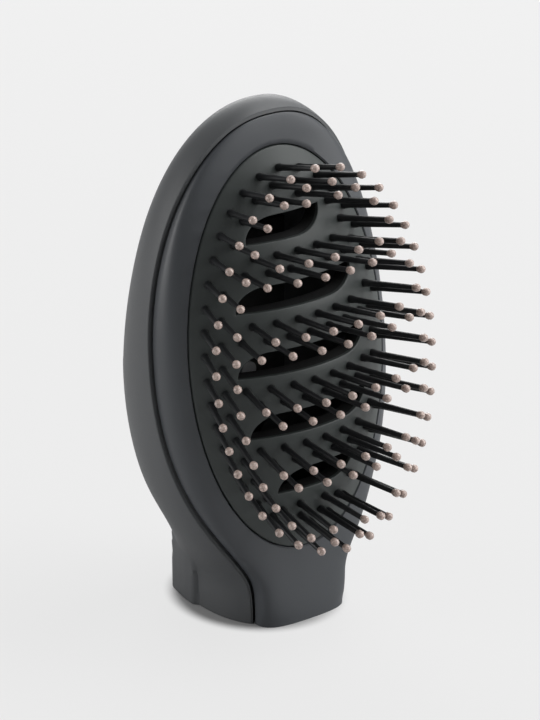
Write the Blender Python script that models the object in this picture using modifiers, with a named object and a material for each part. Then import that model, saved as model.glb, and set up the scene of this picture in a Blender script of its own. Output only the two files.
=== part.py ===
"""Detachable brush head of a hot air styler, standing on its open collar.

The domed bristle plate faces -Y, +Z points up and z = 0 is the collar's rim.
A hollow rear casing and a front frame meet at one long seam. The frame carries the
domed plate with its five curved air vents, and the ball-tipped pins are moulded in
strips that push through the plate from behind.
"""

import math

import bmesh
import bpy
from mathutils import Matrix, Vector

# Driving dimensions in metres
CROWN_HEIGHT = 0.1384
CASING_HALF_WIDTH = 0.0366
CASING_WIDEST_HEIGHT = 0.072
CASING_DEEPEST_HEIGHT = 0.069
CASING_FOOT_HEIGHT = 0.0056
CASING_DEEP_FOOT_HEIGHT = -0.0004
CASING_BACK_REACH = 0.0292
CASING_FRONT_REACH = 0.0250
CROWN_Y = 0.0068
COLLAR_HALF_WIDTH = 0.0188
COLLAR_BACK_REACH = 0.0205
COLLAR_FRONT_REACH = 0.0237
COLLAR_MIDDLE_Y = 0.0055
COLLAR_BLEND_HEIGHT = 0.030
CASING_MIDDLE_Y = 0.0035
WALL = 0.0022

# Seam between casing and frame, seen from the side
SEAM_RIM_Y = -0.0112
SEAM_HEAD_Y = 0.0070
SEAM_TURN_HEIGHT = 0.045
SEAM_CROWN_FALL = 0.0056
SEAM_FALL_REACH = 0.0634

# Front frame, which leaves the casing's lip showing all round
LIP_WIDTH = 0.0012
LIP_RIM_WIDTH = 0.0004
LIP_BLEND_HEIGHT = 0.030
TONGUE_FRONT_Y = -0.0173
TONGUE_WALL = 0.0016
TONGUE_BLEND_LOW = 0.0150
TONGUE_BLEND_HIGH = 0.0250
SKIRT_DEPTH = 0.0045
SKIRT_WALL = 0.0016
LEDGE_WIDTH = 0.0009
LEDGE_DEPTH = 0.0021

# Domed bristle plate
BEZEL_SIDE_WIDTH = 0.0056
BEZEL_TOP_WIDTH = 0.0114
PLATE_BOTTOM = 0.0208
DOME_APEX_Y = -0.0192
DOME_APEX_HEIGHT = 0.0545
DOME_SIDE_DROP = 0.0107
DOME_TOP_DROP = 0.0185
PLATE_THICKNESS = 0.0018

# Air vents
VENT_COUNT = 5
VENT_RISE = 0.0012
VENT_RING_MARGIN = 0.0034
VENT_WALL = 0.0008
VENT_WALL_DEPTH = 0.0052

# Pins and their strips
PIN_LENGTH = 0.0158
PIN_ROOT_RADIUS = 0.00105
PIN_SHAFT_RADIUS = 0.00072
PIN_NECK_RADIUS = 0.00060
PIN_BALL_RADIUS = 0.00113
PIN_BOOT_LENGTH = 0.0016
PIN_FAN_HEIGHT = 0.0595
OUTER_RING_COUNT = 38
OUTER_RING_SIDE_INSET = 0.0033
OUTER_RING_TOP_INSET = 0.0050
OUTER_RING_BOTTOM_INSET = 0.0072
INNER_RING_COUNT = 34
INNER_RING_SIDE_INSET = 0.0070
INNER_RING_TOP_INSET = 0.0083
INNER_RING_BOTTOM_INSET = 0.0097
ROW_PIN_COUNTS = ((5, 6), (6, 7), (7, 6), (6, 5))
END_PAIR_HALF_SPACING = 0.0040
STRIP_THICKNESS = 0.0018
STRIP_OUTER_INSET = 0.0017
STRIP_INNER_INSET = 0.0086
STRIP_END_MARGIN = 0.0016
EDGE_STRIP_NAMES = (
    "pin_strip_edge_right",
    "pin_strip_edge_upper_right",
    "pin_strip_edge_top",
    "pin_strip_edge_upper_left",
    "pin_strip_edge_left",
    "pin_strip_edge_lower_left",
    "pin_strip_edge_bottom",
    "pin_strip_edge_lower_right",
)
BAND_STRIP_NAMES = (
    "pin_strip_band_1",
    "pin_strip_band_2",
    "pin_strip_band_3",
    "pin_strip_band_4",
)

# Pieces inside
CLAMP_THICKNESS = 0.0015
CLAMP_EDGE_INSET = 0.0026
SOCKET_BOTTOM = 0.0035
SOCKET_TOP = 0.0125
SOCKET_WALL = 0.0016
SEAL_HEIGHT = 0.0020
SEAL_WALL = 0.0022
GUIDE_HALF_WIDTH = 0.0130
GUIDE_BOTTOM = 0.0340
GUIDE_TOP = 0.1020
GUIDE_THICKNESS = 0.0016
GUIDE_LOW_Y = 0.0220
GUIDE_HIGH_Y = 0.0110
GUIDE_SWEEP_HEIGHT = 0.0200
GUIDE_BOSS_RADIUS = 0.0034
GUIDE_BOSS_LOW = 0.0620
GUIDE_BOSS_HIGH = 0.0920
SCREW_RADIUS = 0.0012
SCREW_HEAD_RADIUS = 0.0024
SCREW_HEAD_HEIGHT = 0.0014
SCREW_LENGTH = 0.0075

# Raised side lugs on the collar
LUG_TOP = 0.0200
LUG_FOOT_Y = 0.0058
LUG_FOOT_X = 0.0176
LUG_FRONT_Y = 0.0076
LUG_FRONT_X = 0.0197
LUG_CREASE_Y = 0.0152
LUG_CREASE_X = 0.0185
LUG_BACK_Y = 0.0203
LUG_BACK_X = 0.0177
LUG_END_Y = 0.0214
LUG_END_X = 0.0140

# Fits shared by the pieces
GAP = 0.0003
SEAM_GAP = 0.0004
SKIRT_GAP = 0.0008
STRIP_GAP = 0.0004
SOCKET_CLEARANCE = 0.0009
VENT_FIELD_CLEARANCE = 0.0009
OVERRUN = 0.0030
WELD = 0.000001

# Curve powers, shares and mesh counts
CASING_OUTLINE_POWER = 2.1
CASING_BACK_POWER = 1.6
CASING_FRONT_POWER = 2.0
CASING_SECTION_POWER = 2.43
FRAME_SECTION_POWER = 3.6
FRAME_CROWN_POWER = 3.0
STRIP_INNER_POWER = 2.2
SEAM_TURN_POWER = 2.5
SOFT_POWER = 8.0
STRIP_TURN_SHARE = 0.30
PIN_SIDE_LEAN_SHARE = 0.55
PIN_TOP_LEAN_SHARE = 0.3045
VENT_PITCH_SHARE = 0.1882
VENT_HEIGHT_SHARE = 0.3735
VENT_CORNER_SHARE = 0.3667
ROW_PITCH_SHARE = 0.2625
ROW_SPACING_SHARE = 0.1175
END_PAIR_SHARE = 0.5
STRIP_HEIGHT_SHARE = 0.2048
SHARP_DEGREES = 35.0
PIN_SIDES = 5
BALL_CAP_SHARE = 0.70
ROUND_SIDES = 16
CASING_RING_POINTS = 40
CASING_LOWER_RINGS = 12
CASING_UPPER_RINGS = 9
CAVITY_RING_POINTS = 36
CAVITY_LOWER_RINGS = 8
CAVITY_UPPER_RINGS = 6
FRAME_ARC_POINTS = 19
FRAME_LOWER_RINGS = 11
FRAME_UPPER_RINGS = 9
HOLLOW_ARC_POINTS = 13
HOLLOW_LOWER_RINGS = 7
HOLLOW_UPPER_RINGS = 6
TONGUE_BLEND_STEPS = 3
OUTLINE_POINTS = 44
STRIP_COLUMNS = 5
STRIP_TURN_STEPS = 12
DOME_COLUMNS = 9
DOME_ROWS = 13
VENT_CORNER_POINTS = 5
RING_FINENESS = 20
CLOSING_STEPS = 40
GUIDE_STEPS = 6

FULL_TURN = 2.0 * math.pi
HALF = 0.5


def start_scene():
    """Clear the scene and make one collection for the parts and one for the cutters."""
    for thing in list(bpy.data.objects):
        bpy.data.objects.remove(thing, do_unlink=True)
    made = {}
    for name in ("hot_air_brush", "cutters"):
        made[name] = bpy.data.collections.new(name)
        bpy.context.scene.collection.children.link(made[name])
    return made["hot_air_brush"], made["cutters"]


PARTS, CUTTERS = start_scene()


def make_material(name, colour, roughness, metallic=0.0):
    """A plain Principled material."""
    material = bpy.data.materials.new(name)
    material.use_nodes = True
    shader = material.node_tree.nodes["Principled BSDF"]
    shader.inputs["Base Color"].default_value = (*colour, 1.0)
    shader.inputs["Roughness"].default_value = roughness
    shader.inputs["Metallic"].default_value = metallic
    return material


CASING_PLASTIC = make_material("charcoal_casing_plastic", (0.066, 0.071, 0.076), 0.55)
FRAME_PLASTIC = make_material("charcoal_frame_plastic", (0.050, 0.054, 0.060), 0.50)
PLATE_PLASTIC = make_material("grey_plate_plastic", (0.058, 0.066, 0.062), 0.60)
PIN_NYLON = make_material("black_pin_nylon", (0.012, 0.012, 0.014), 0.45)
INNER_PLASTIC = make_material("black_inner_plastic", (0.020, 0.020, 0.022), 0.60)
SEAL_RUBBER = make_material("black_seal_rubber", (0.015, 0.015, 0.015), 0.85)
STEEL = make_material("bright_steel", (0.60, 0.60, 0.60), 0.30, 1.0)


def add_object(name, mesh, material=None):
    """Put a mesh in the parts collection, or in the cutters' when it has no material."""
    thing = bpy.data.objects.new(name, mesh)
    if material is None:
        CUTTERS.objects.link(thing)
        thing.hide_render = True
        thing.display_type = "WIRE"
    else:
        PARTS.objects.link(thing)
        mesh.materials.append(material)
    return thing


def finish_mesh(name, shape):
    """Close a bmesh into a mesh whose faces point outwards."""
    shape.normal_update()
    bmesh.ops.recalc_face_normals(shape, faces=shape.faces)
    if shape.calc_volume(signed=True) < 0:
        bmesh.ops.reverse_faces(shape, faces=shape.faces)
    mesh = bpy.data.meshes.new(name)
    shape.to_mesh(mesh)
    shape.free()
    return mesh


def read_mesh(source):
    """Mesh of a curve or of a modified object, which is then removed."""
    bpy.context.scene.collection.objects.link(source)
    evaluated = source.evaluated_get(bpy.context.evaluated_depsgraph_get())
    mesh = bpy.data.meshes.new_from_object(evaluated)
    bpy.data.objects.remove(source)
    return mesh


def combine(target, cutter, operation):
    """Add an exact Boolean to an object."""
    step = target.modifiers.new(f"{operation.lower()}_{cutter.name}", "BOOLEAN")
    step.operation = operation
    step.object = cutter
    step.solver = "EXACT"


def smooth_rounds(thing):
    """Settle an object's Booleans, then shade it smooth with its real edges kept sharp."""
    evaluated = thing.evaluated_get(bpy.context.evaluated_depsgraph_get())
    mesh = bpy.data.meshes.new_from_object(evaluated)
    thing.modifiers.clear()
    thing.data = mesh
    mesh.shade_smooth()
    mesh.set_sharp_from_angle(angle=math.radians(SHARP_DEGREES))


def oval_share(place, centre, reach, power):
    """Share of the full size that a superellipse keeps at this place."""
    share = min(abs(place - centre) / reach, 1.0)
    return (1.0 - share**power) ** (1.0 / power)


def soft_largest(first, second):
    """The larger of two sizes, with a rounded change-over."""
    return (first**SOFT_POWER + second**SOFT_POWER) ** (1.0 / SOFT_POWER)


def ease(share):
    """Smooth step from 0 to 1."""
    share = max(0.0, min(1.0, share))
    return share * share * (3.0 - 2.0 * share)


def seam_y(z):
    """Where casing and frame meet, at this height."""
    rise = max(z, 0.0) ** SEAM_TURN_POWER
    share = rise / (rise + SEAM_TURN_HEIGHT**SEAM_TURN_POWER)
    fall = max(z - CROWN_HEIGHT + SEAM_FALL_REACH, 0.0) / SEAM_FALL_REACH
    return SEAM_RIM_Y + (SEAM_HEAD_Y - SEAM_RIM_Y) * share - SEAM_CROWN_FALL * fall**2


PLATE_HALF_WIDTH = CASING_HALF_WIDTH - BEZEL_SIDE_WIDTH
PLATE_TOP = CROWN_HEIGHT - BEZEL_TOP_WIDTH
DOME_TOP_REACH = PLATE_TOP - DOME_APEX_HEIGHT


def dome_y(x, z):
    """Front face of the bristle plate."""
    side = DOME_SIDE_DROP * (x / PLATE_HALF_WIDTH) ** 2
    end = DOME_TOP_DROP * ((z - DOME_APEX_HEIGHT) / DOME_TOP_REACH) ** 2
    return DOME_APEX_Y + side + end


INNER_RING_HALF_WIDTH = PLATE_HALF_WIDTH - INNER_RING_SIDE_INSET
INNER_RING_BOTTOM = PLATE_BOTTOM + INNER_RING_BOTTOM_INSET
INNER_RING_TOP = PLATE_TOP - INNER_RING_TOP_INSET
PLATE_MIDDLE = HALF * (PLATE_TOP + PLATE_BOTTOM)
PLATE_HALF_HEIGHT = HALF * (PLATE_TOP - PLATE_BOTTOM)
VENT_MIDDLE_HEIGHT = PLATE_MIDDLE + VENT_RISE
VENT_PITCH = VENT_PITCH_SHARE * (INNER_RING_TOP - INNER_RING_BOTTOM)
VENT_HEIGHT = VENT_HEIGHT_SHARE * VENT_PITCH
VENT_CORNER_LENGTH = VENT_CORNER_SHARE * INNER_RING_HALF_WIDTH
ROW_PITCH = ROW_PITCH_SHARE * INNER_RING_HALF_WIDTH
ROW_HALF_SPACING = ROW_SPACING_SHARE * VENT_PITCH
STRIP_HALF_HEIGHT = STRIP_HEIGHT_SHARE * VENT_PITCH


def plate_half_width(z, grow=0.0):
    """Half width of the plate's oval at this height."""
    reach = PLATE_HALF_HEIGHT + grow
    return (PLATE_HALF_WIDTH + grow) * oval_share(z, PLATE_MIDDLE, reach, 2.0)


def casing_section(z, inset=0.0):
    """Half width, middle, front and back of the casing at this height."""
    wide_reach = CROWN_HEIGHT - CASING_WIDEST_HEIGHT - inset
    deep_reach = CROWN_HEIGHT - CASING_DEEPEST_HEIGHT - inset
    top_share = ease((z - CASING_DEEPEST_HEIGHT) / deep_reach)
    if z < CASING_WIDEST_HEIGHT:
        wide_reach = CASING_WIDEST_HEIGHT - CASING_FOOT_HEIGHT - inset
    if z < CASING_DEEPEST_HEIGHT:
        deep_reach = CASING_DEEPEST_HEIGHT - CASING_DEEP_FOOT_HEIGHT - inset
    width = (CASING_HALF_WIDTH - inset) * oval_share(
        z, CASING_WIDEST_HEIGHT, wide_reach, CASING_OUTLINE_POWER
    )
    back = (CASING_BACK_REACH - inset) * oval_share(
        z, CASING_DEEPEST_HEIGHT, deep_reach, CASING_BACK_POWER
    )
    front = (CASING_FRONT_REACH - inset) * oval_share(
        z, CASING_DEEPEST_HEIGHT, deep_reach, CASING_FRONT_POWER
    )
    if z < CASING_WIDEST_HEIGHT:
        width = soft_largest(width, COLLAR_HALF_WIDTH - inset)
    if z < CASING_DEEPEST_HEIGHT:
        back = soft_largest(back, COLLAR_BACK_REACH - inset)
        front = soft_largest(front, COLLAR_FRONT_REACH - inset)
    low = COLLAR_MIDDLE_Y + (CASING_MIDDLE_Y - COLLAR_MIDDLE_Y) * ease(z / COLLAR_BLEND_HEIGHT)
    middle = low + (CROWN_Y - low) * top_share
    return width, middle, CROWN_Y - front, CROWN_Y + back


def casing_ring(z, points, inset=0.0):
    """Points around the casing at this height."""
    width, middle, front, back = casing_section(z, inset)
    ring = []
    power = 2.0 / CASING_SECTION_POWER
    for number in range(points):
        angle = FULL_TURN * number / points
        across, along = math.cos(angle), math.sin(angle)
        reach = back - middle if along > 0 else middle - front
        x = width * math.copysign(abs(across) ** power, across)
        y = middle + reach * math.copysign(abs(along) ** power, along)
        ring.append(Vector((x, y, z)))
    return ring


def seam_reach_share(z, inset):
    """How far out the seam lies in the casing's section: 1 where the section ends."""
    _, middle, front, back = casing_section(z, inset)
    seam = seam_y(z)
    reach = back - middle if seam > middle else middle - front
    return abs(seam - middle) / max(reach, WELD)


def frame_half_width(z, inset=0.0):
    """Half width of the front frame at this height: the casing's at the seam, less its lip."""
    lip = LIP_RIM_WIDTH + (LIP_WIDTH - LIP_RIM_WIDTH) * ease(z / LIP_BLEND_HEIGHT)
    width = casing_section(z, lip + inset)[0]
    out = seam_reach_share(z, lip + inset)
    return width * oval_share(out, 0.0, 1.0, CASING_SECTION_POWER)


def frame_top(inset=0.0):
    """Height at which the frame's outline closes below the crown, found by halving."""
    low, high = CASING_WIDEST_HEIGHT, CROWN_HEIGHT - LIP_WIDTH - inset
    for _ in range(CLOSING_STEPS):
        middle = HALF * (low + high)
        if seam_reach_share(middle, LIP_WIDTH + inset) < 1.0:
            low = middle
        else:
            high = middle
    return low


FRAME_TOP = frame_top()


def frame_front_y(z):
    """Front of the frame's section, so that it is flush with the plate along its edge."""
    if z <= PLATE_BOTTOM:
        share = max(z, 0.0) / PLATE_BOTTOM
        return TONGUE_FRONT_Y + (dome_y(0.0, PLATE_BOTTOM) - TONGUE_FRONT_Y) * share
    seam = seam_y(z)
    if z >= PLATE_TOP:
        rounding = oval_share(z, PLATE_TOP, FRAME_TOP - PLATE_TOP, FRAME_CROWN_POWER)
        return seam - (seam_y(PLATE_TOP) - dome_y(0.0, PLATE_TOP)) * rounding
    edge = plate_half_width(z)
    kept = oval_share(edge, 0.0, frame_half_width(z), FRAME_SECTION_POWER)
    return seam - (seam - dome_y(edge, z)) / kept


def frame_arc(z, points, inset=0.0, front_inset=0.0):
    """Front arc of the frame at this height, from its -X end to its +X end."""
    width = frame_half_width(z, inset)
    seam = seam_y(z)
    front = frame_front_y(z) + front_inset
    arc = []
    for number in range(points):
        angle = math.pi * number / (points - 1)
        across = -math.cos(angle)
        x = width * across
        kept = oval_share(abs(across), 0.0, 1.0, FRAME_SECTION_POWER)
        arc.append(Vector((x, seam + (front - seam) * kept, z)))
    return arc


def spaced_heights(bottom, middle, top, lower, upper):
    """Heights that are even below the middle and close up towards the top."""
    heights = [bottom + (middle - bottom) * n / lower for n in range(lower)]
    for number in range(upper):
        heights.append(middle + (top - middle) * math.sin(HALF * math.pi * number / upper))
    return heights


def loft(name, rings, tip=None, material=None):
    """Solid between rings of points, with flat ends or a point at the top."""
    shape = bmesh.new()
    rows = [[shape.verts.new(point) for point in ring] for ring in rings]
    for below, above in zip(rows, rows[1:]):
        for number in range(len(below)):
            following = (number + 1) % len(below)
            shape.faces.new((below[number], below[following], above[following], above[number]))
    shape.faces.new(rows[0])
    if tip is None:
        shape.faces.new(rows[-1])
    else:
        point = shape.verts.new(tip)
        for number in range(len(rows[-1])):
            following = (number + 1) % len(rows[-1])
            shape.faces.new((rows[-1][number], rows[-1][following], point))
    return add_object(name, finish_mesh(name, shape), material)


def casing_loft(name, inset, bottom, points, lower, upper, material=None):
    """Closed solid of the casing's outside, or of its inside when inset."""
    top = CROWN_HEIGHT - inset
    heights = spaced_heights(bottom, CASING_WIDEST_HEIGHT, top, lower, upper)
    rings = [casing_ring(z, points, inset) for z in heights]
    return loft(name, rings, Vector((0.0, CROWN_Y, top)), material)


def frame_ring(z, inset, front_inset, back_depth):
    """Section of a core: the frame's front arc, closed at a depth behind the seam."""
    arc = frame_arc(z, HOLLOW_ARC_POINTS, inset, front_inset)
    back = seam_y(z) + back_depth
    return arc + [Vector((arc[-1].x, back, z)), Vector((arc[0].x, back, z))]


def seam_block(name, shift):
    """Block in front of the seam, which is moved by a shift."""
    far = -CASING_HALF_WIDTH - OVERRUN
    steps = CASING_LOWER_RINGS + CASING_UPPER_RINGS
    side = []
    for number in range(steps + 1):
        z = -OVERRUN + (CROWN_HEIGHT + 2.0 * OVERRUN) * number / steps
        side.append((seam_y(z) + shift, z))
    side += [(far, CROWN_HEIGHT + OVERRUN), (far, -OVERRUN)]
    half = CASING_HALF_WIDTH + OVERRUN
    rings = [[Vector((x, y, z)) for y, z in side] for x in (-half, half)]
    return loft(name, rings)


def oval_outline(grow=0.0):
    """Outline of the plate in the X-Z plane, grown or shrunk."""
    outline = []
    for number in range(OUTLINE_POINTS):
        angle = FULL_TURN * (number + HALF) / OUTLINE_POINTS
        x = (PLATE_HALF_WIDTH + grow) * math.cos(angle)
        z = PLATE_MIDDLE + (PLATE_HALF_HEIGHT + grow) * math.sin(angle)
        outline.append((x, z))
    return outline


def vent_outline(number, grow=0.0):
    """A vent inside the inner ring of pins: two sharp tips and two long round corners."""
    middle = VENT_MIDDLE_HEIGHT + (number - HALF * (VENT_COUNT - 1)) * VENT_PITCH
    half = HALF * VENT_HEIGHT + grow
    ring_middle = HALF * (INNER_RING_BOTTOM + INNER_RING_TOP)
    ring_reach = HALF * (INNER_RING_TOP - INNER_RING_BOTTOM)
    outline = []
    for side in (1, -1):
        share = oval_share(middle + side * HALF * VENT_HEIGHT, ring_middle, ring_reach, 2.0)
        tip = INNER_RING_HALF_WIDTH * share - VENT_RING_MARGIN + grow
        for count in range(VENT_CORNER_POINTS + 1):
            angle = HALF * math.pi * count / VENT_CORNER_POINTS
            x = tip - VENT_CORNER_LENGTH * (1.0 - math.sin(angle))
            z = half * (1.0 - 2.0 * math.cos(angle))
            outline.append((side * x, middle + side * z))
    return outline


def prism(name, outlines, near, far, material=None):
    """Straight solids along Y from flat outlines in the X-Z plane."""
    curve = bpy.data.curves.new(name, "CURVE")
    curve.dimensions = "2D"
    curve.fill_mode = "BOTH"
    curve.extrude = HALF * (far - near)
    for outline in outlines:
        spline = curve.splines.new("POLY")
        spline.points.add(len(outline) - 1)
        spline.use_cyclic_u = True
        for point, (x, z) in zip(spline.points, outline):
            point.co = (x, z, 0.0, 1.0)
    shape = bmesh.new()
    shape.from_mesh(read_mesh(bpy.data.objects.new(name, curve)))
    bmesh.ops.remove_doubles(shape, verts=shape.verts, dist=WELD)
    upright = Matrix.Rotation(HALF * math.pi, 4, "X")
    placed = Matrix.Translation((0.0, HALF * (near + far), 0.0)) @ upright
    bmesh.ops.transform(shape, matrix=placed, verts=shape.verts)
    return add_object(name, finish_mesh(name, shape), material)


PRISM_NEAR = DOME_APEX_Y - OVERRUN
PRISM_FAR = dome_y(PLATE_HALF_WIDTH, PLATE_TOP) + VENT_WALL_DEPTH + OVERRUN


def dome_sheet(name, depth, thickness, margin, material=None):
    """Solid sheet that follows the dome, at a depth behind its face."""
    shape = bmesh.new()
    bmesh.ops.create_grid(
        shape, x_segments=DOME_COLUMNS, y_segments=DOME_ROWS, size=1.0
    )
    width = PLATE_HALF_WIDTH + margin
    height = PLATE_HALF_HEIGHT + margin
    for corner in shape.verts:
        x = corner.co.x * width
        z = PLATE_MIDDLE + corner.co.y * height
        corner.co = Vector((x, dome_y(x, z) + depth, z))
    front = list(shape.faces)
    made = bmesh.ops.extrude_face_region(shape, geom=front)
    moved = [item for item in made["geom"] if isinstance(item, bmesh.types.BMVert)]
    bmesh.ops.translate(shape, verts=moved, vec=(0.0, thickness, 0.0))
    return add_object(name, finish_mesh(name, shape), material)


def pin_direction(x, z):
    """Pins fan out a little from the plate's middle."""
    side = PIN_SIDE_LEAN_SHARE * x / PLATE_HALF_WIDTH
    rise = PIN_TOP_LEAN_SHARE * (z - PIN_FAN_HEIGHT) / DOME_TOP_REACH
    return Vector((side, -1.0, rise)).normalized()


def turned_mesh(name, profile, sides):
    """Mesh turned about +Z from a profile of heights and radii, closed at both ends."""
    points = [(radius, 0.0, height) for height, radius in profile]
    points = [(0.0, 0.0, points[0][2])] + points + [(0.0, 0.0, points[-1][2])]
    mesh = bpy.data.meshes.new(name)
    mesh.from_pydata(points, [(n, n + 1) for n in range(len(points) - 1)], [])
    source = bpy.data.objects.new(name, mesh)
    screw = source.modifiers.new("turn", "SCREW")
    screw.steps = screw.render_steps = sides
    screw.use_merge_vertices = True
    screw.merge_threshold = WELD
    shape = bmesh.new()
    shape.from_mesh(read_mesh(source))
    return finish_mesh(name, shape)


STRIP_NEAR_DEPTH = PLATE_THICKNESS + STRIP_GAP
PIN_PROFILE = (
    (-STRIP_NEAR_DEPTH - HALF * STRIP_THICKNESS, PIN_ROOT_RADIUS),
    (PIN_BOOT_LENGTH, PIN_SHAFT_RADIUS),
    (PIN_LENGTH - BALL_CAP_SHARE * PIN_BALL_RADIUS, PIN_NECK_RADIUS),
    (PIN_LENGTH, PIN_BALL_RADIUS),
    (PIN_LENGTH + BALL_CAP_SHARE * PIN_BALL_RADIUS, BALL_CAP_SHARE * PIN_BALL_RADIUS),
    (PIN_LENGTH + PIN_BALL_RADIUS, 0.0),
)
PIN_HOLE_PROFILE = (
    (-PLATE_THICKNESS - PIN_ROOT_RADIUS, PIN_ROOT_RADIUS + GAP),
    (PIN_ROOT_RADIUS, PIN_ROOT_RADIUS + GAP),
)


def ring_places(half_width, bottom, top, count, start_share):
    """Pin places spaced evenly along an oval, clockwise from the top."""
    middle = HALF * (bottom + top)
    half_height = HALF * (top - bottom)
    fine = count * RING_FINENESS
    points = []
    for number in range(fine + 1):
        angle = FULL_TURN * number / fine
        points.append((half_width * math.sin(angle), middle + half_height * math.cos(angle)))
    lengths = [0.0]
    for first, second in zip(points, points[1:]):
        lengths.append(lengths[-1] + math.dist(first, second))
    places = []
    for number in range(count):
        wanted = lengths[-1] * (number + start_share) / count
        index = next(i for i, length in enumerate(lengths) if length >= wanted)
        places.append(points[index])
    return places


def edge_places():
    """Places of the two rings of pins and of the pairs above and below the vents."""
    outer = ring_places(
        PLATE_HALF_WIDTH - OUTER_RING_SIDE_INSET,
        PLATE_BOTTOM + OUTER_RING_BOTTOM_INSET,
        PLATE_TOP - OUTER_RING_TOP_INSET,
        OUTER_RING_COUNT,
        0.0,
    )
    inner = ring_places(
        INNER_RING_HALF_WIDTH, INNER_RING_BOTTOM, INNER_RING_TOP, INNER_RING_COUNT, HALF
    )
    reach = HALF * ((VENT_COUNT - 1) * VENT_PITCH + VENT_HEIGHT)
    pairs = []
    for end, ring_end in ((-1, INNER_RING_BOTTOM), (1, INNER_RING_TOP)):
        edge = VENT_MIDDLE_HEIGHT + end * reach
        height = edge + END_PAIR_SHARE * (ring_end - edge)
        pairs += [(side * END_PAIR_HALF_SPACING, height) for side in (-1, 1)]
    return outer + inner + pairs


def band_places(number):
    """Places of the two staggered rows of pins between a pair of vents."""
    step = HALF * (VENT_COUNT - 1) - HALF - number
    middle = VENT_MIDDLE_HEIGHT + step * VENT_PITCH
    places = []
    for side, count in zip((1, -1), ROW_PIN_COUNTS[number]):
        for index in range(count):
            x = (index - HALF * (count - 1)) * ROW_PITCH
            places.append((x, middle + side * ROW_HALF_SPACING))
    return places


def pin_set(name, places, profile):
    """Turned pins at their places, or the cutters of their holes, in one mesh."""
    pin = turned_mesh(f"{name}_profile", profile, PIN_SIDES)
    shape = bmesh.new()
    for x, z in places:
        first = len(shape.verts)
        shape.from_mesh(pin)
        shape.verts.ensure_lookup_table()
        lean = pin_direction(x, z).to_track_quat("Z", "Y").to_matrix().to_4x4()
        placed = Matrix.Translation((x, dome_y(x, z), z)) @ lean
        bmesh.ops.transform(shape, matrix=placed, verts=shape.verts[first:])
    return add_object(name, finish_mesh(name, shape))


def strip_sheet(name, columns, material):
    """Strip behind the plate, from columns of places across its width."""
    near, far = STRIP_NEAR_DEPTH, STRIP_NEAR_DEPTH + STRIP_THICKNESS
    rings = []
    for column in columns:
        front = [Vector((x, dome_y(x, z) + near, z)) for x, z in column]
        back = [Vector((x, dome_y(x, z) + far, z)) for x, z in reversed(column)]
        rings.append(front + back)
    return loft(name, rings, None, material)


EDGE_SPAN = FULL_TURN / len(EDGE_STRIP_NAMES)
# The strips on the right and left sides lie clear of the vents
CLEAR_STRIPS = (0, 4)
VENT_FIELD_REACH = (
    HALF * ((VENT_COUNT - 1) * VENT_PITCH + VENT_HEIGHT) + VENT_WALL + VENT_FIELD_CLEARANCE
)


def edge_strip_column(angle):
    """Places across an edge strip: near the plate's rim, half way, and beside the vents."""
    across, along = math.cos(angle), math.sin(angle)
    outer = (
        (PLATE_HALF_WIDTH - STRIP_OUTER_INSET) * across,
        PLATE_MIDDLE + (PLATE_HALF_HEIGHT - STRIP_OUTER_INSET) * along,
    )
    power = 2.0 / STRIP_INNER_POWER
    inner = (
        (PLATE_HALF_WIDTH - STRIP_INNER_INSET) * math.copysign(abs(across) ** power, across),
        VENT_MIDDLE_HEIGHT + VENT_FIELD_REACH * math.copysign(abs(along) ** power, along),
    )
    middle = (HALF * (outer[0] + inner[0]), HALF * (outer[1] + inner[1]))
    return [outer, middle, inner]


def strip_place(x, z):
    """Where a pin's axis crosses the middle of its strip."""
    along = pin_direction(x, z)
    back = (STRIP_NEAR_DEPTH + HALF * STRIP_THICKNESS) / along.y
    return x + along.x * back, z + along.z * back


def side_of(angle, place):
    """Positive where a place lies counter-clockwise of the line across the strips."""
    outer, _, inner = edge_strip_column(angle)
    width, height = outer[0] - inner[0], outer[1] - inner[1]
    return width * (place[1] - inner[1]) - height * (place[0] - inner[0])


def lies_between(first, last, place):
    """Whether a place lies on the strip between two joints."""
    middle = HALF * (first + last)
    outward = place[0] * math.cos(middle) + (place[1] - PLATE_MIDDLE) * math.sin(middle)
    return outward > 0 and side_of(first, place) > 0 > side_of(last, place)


def quiet_angle(nominal, places):
    """Direction near the nominal one whose line across the strips is farthest from a pin."""
    best_room, best_angle = 0.0, nominal
    for step in range(-STRIP_TURN_STEPS, STRIP_TURN_STEPS + 1):
        angle = nominal + STRIP_TURN_SHARE * EDGE_SPAN * step / STRIP_TURN_STEPS
        outer, _, inner = edge_strip_column(angle)
        length = math.dist(outer, inner)
        room = length
        for x, z in places:
            along = (x - outer[0]) * (inner[0] - outer[0]) + (z - outer[1]) * (inner[1] - outer[1])
            share = max(0.0, min(1.0, along / length**2))
            foot = (
                outer[0] + share * (inner[0] - outer[0]),
                outer[1] + share * (inner[1] - outer[1]),
            )
            room = min(room, math.dist((x, z), foot))
        if room > best_room:
            best_room, best_angle = room, angle
    return best_angle


def build_edge_strips():
    """Eight moulded strips carry the two rings of pins."""
    places = edge_places()
    count = len(EDGE_STRIP_NAMES)
    roots = [strip_place(x, z) for x, z in places]
    joints = [quiet_angle((number - HALF) * EDGE_SPAN, roots) for number in range(count)]
    joints.append(joints[0] + FULL_TURN)
    clear = [vent_outline(number, VENT_WALL + GAP) for number in range(VENT_COUNT)]
    vents = prism("vent_clearance", clear, PRISM_NEAR, PRISM_FAR)
    for number, name in enumerate(EDGE_STRIP_NAMES):
        first, last = joints[number], joints[number + 1]
        own = [place for place, root in zip(places, roots) if lies_between(first, last, root)]
        trim = GAP / PLATE_HALF_WIDTH
        columns = []
        for step in range(STRIP_COLUMNS + 1):
            share = step / STRIP_COLUMNS
            columns.append(edge_strip_column(first + trim + share * (last - first - 2.0 * trim)))
        strip = strip_sheet(name, columns, PIN_NYLON)
        if number not in CLEAR_STRIPS:
            combine(strip, vents, "DIFFERENCE")
        combine(strip, pin_set(f"{name}_pins", own, PIN_PROFILE), "UNION")


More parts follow.
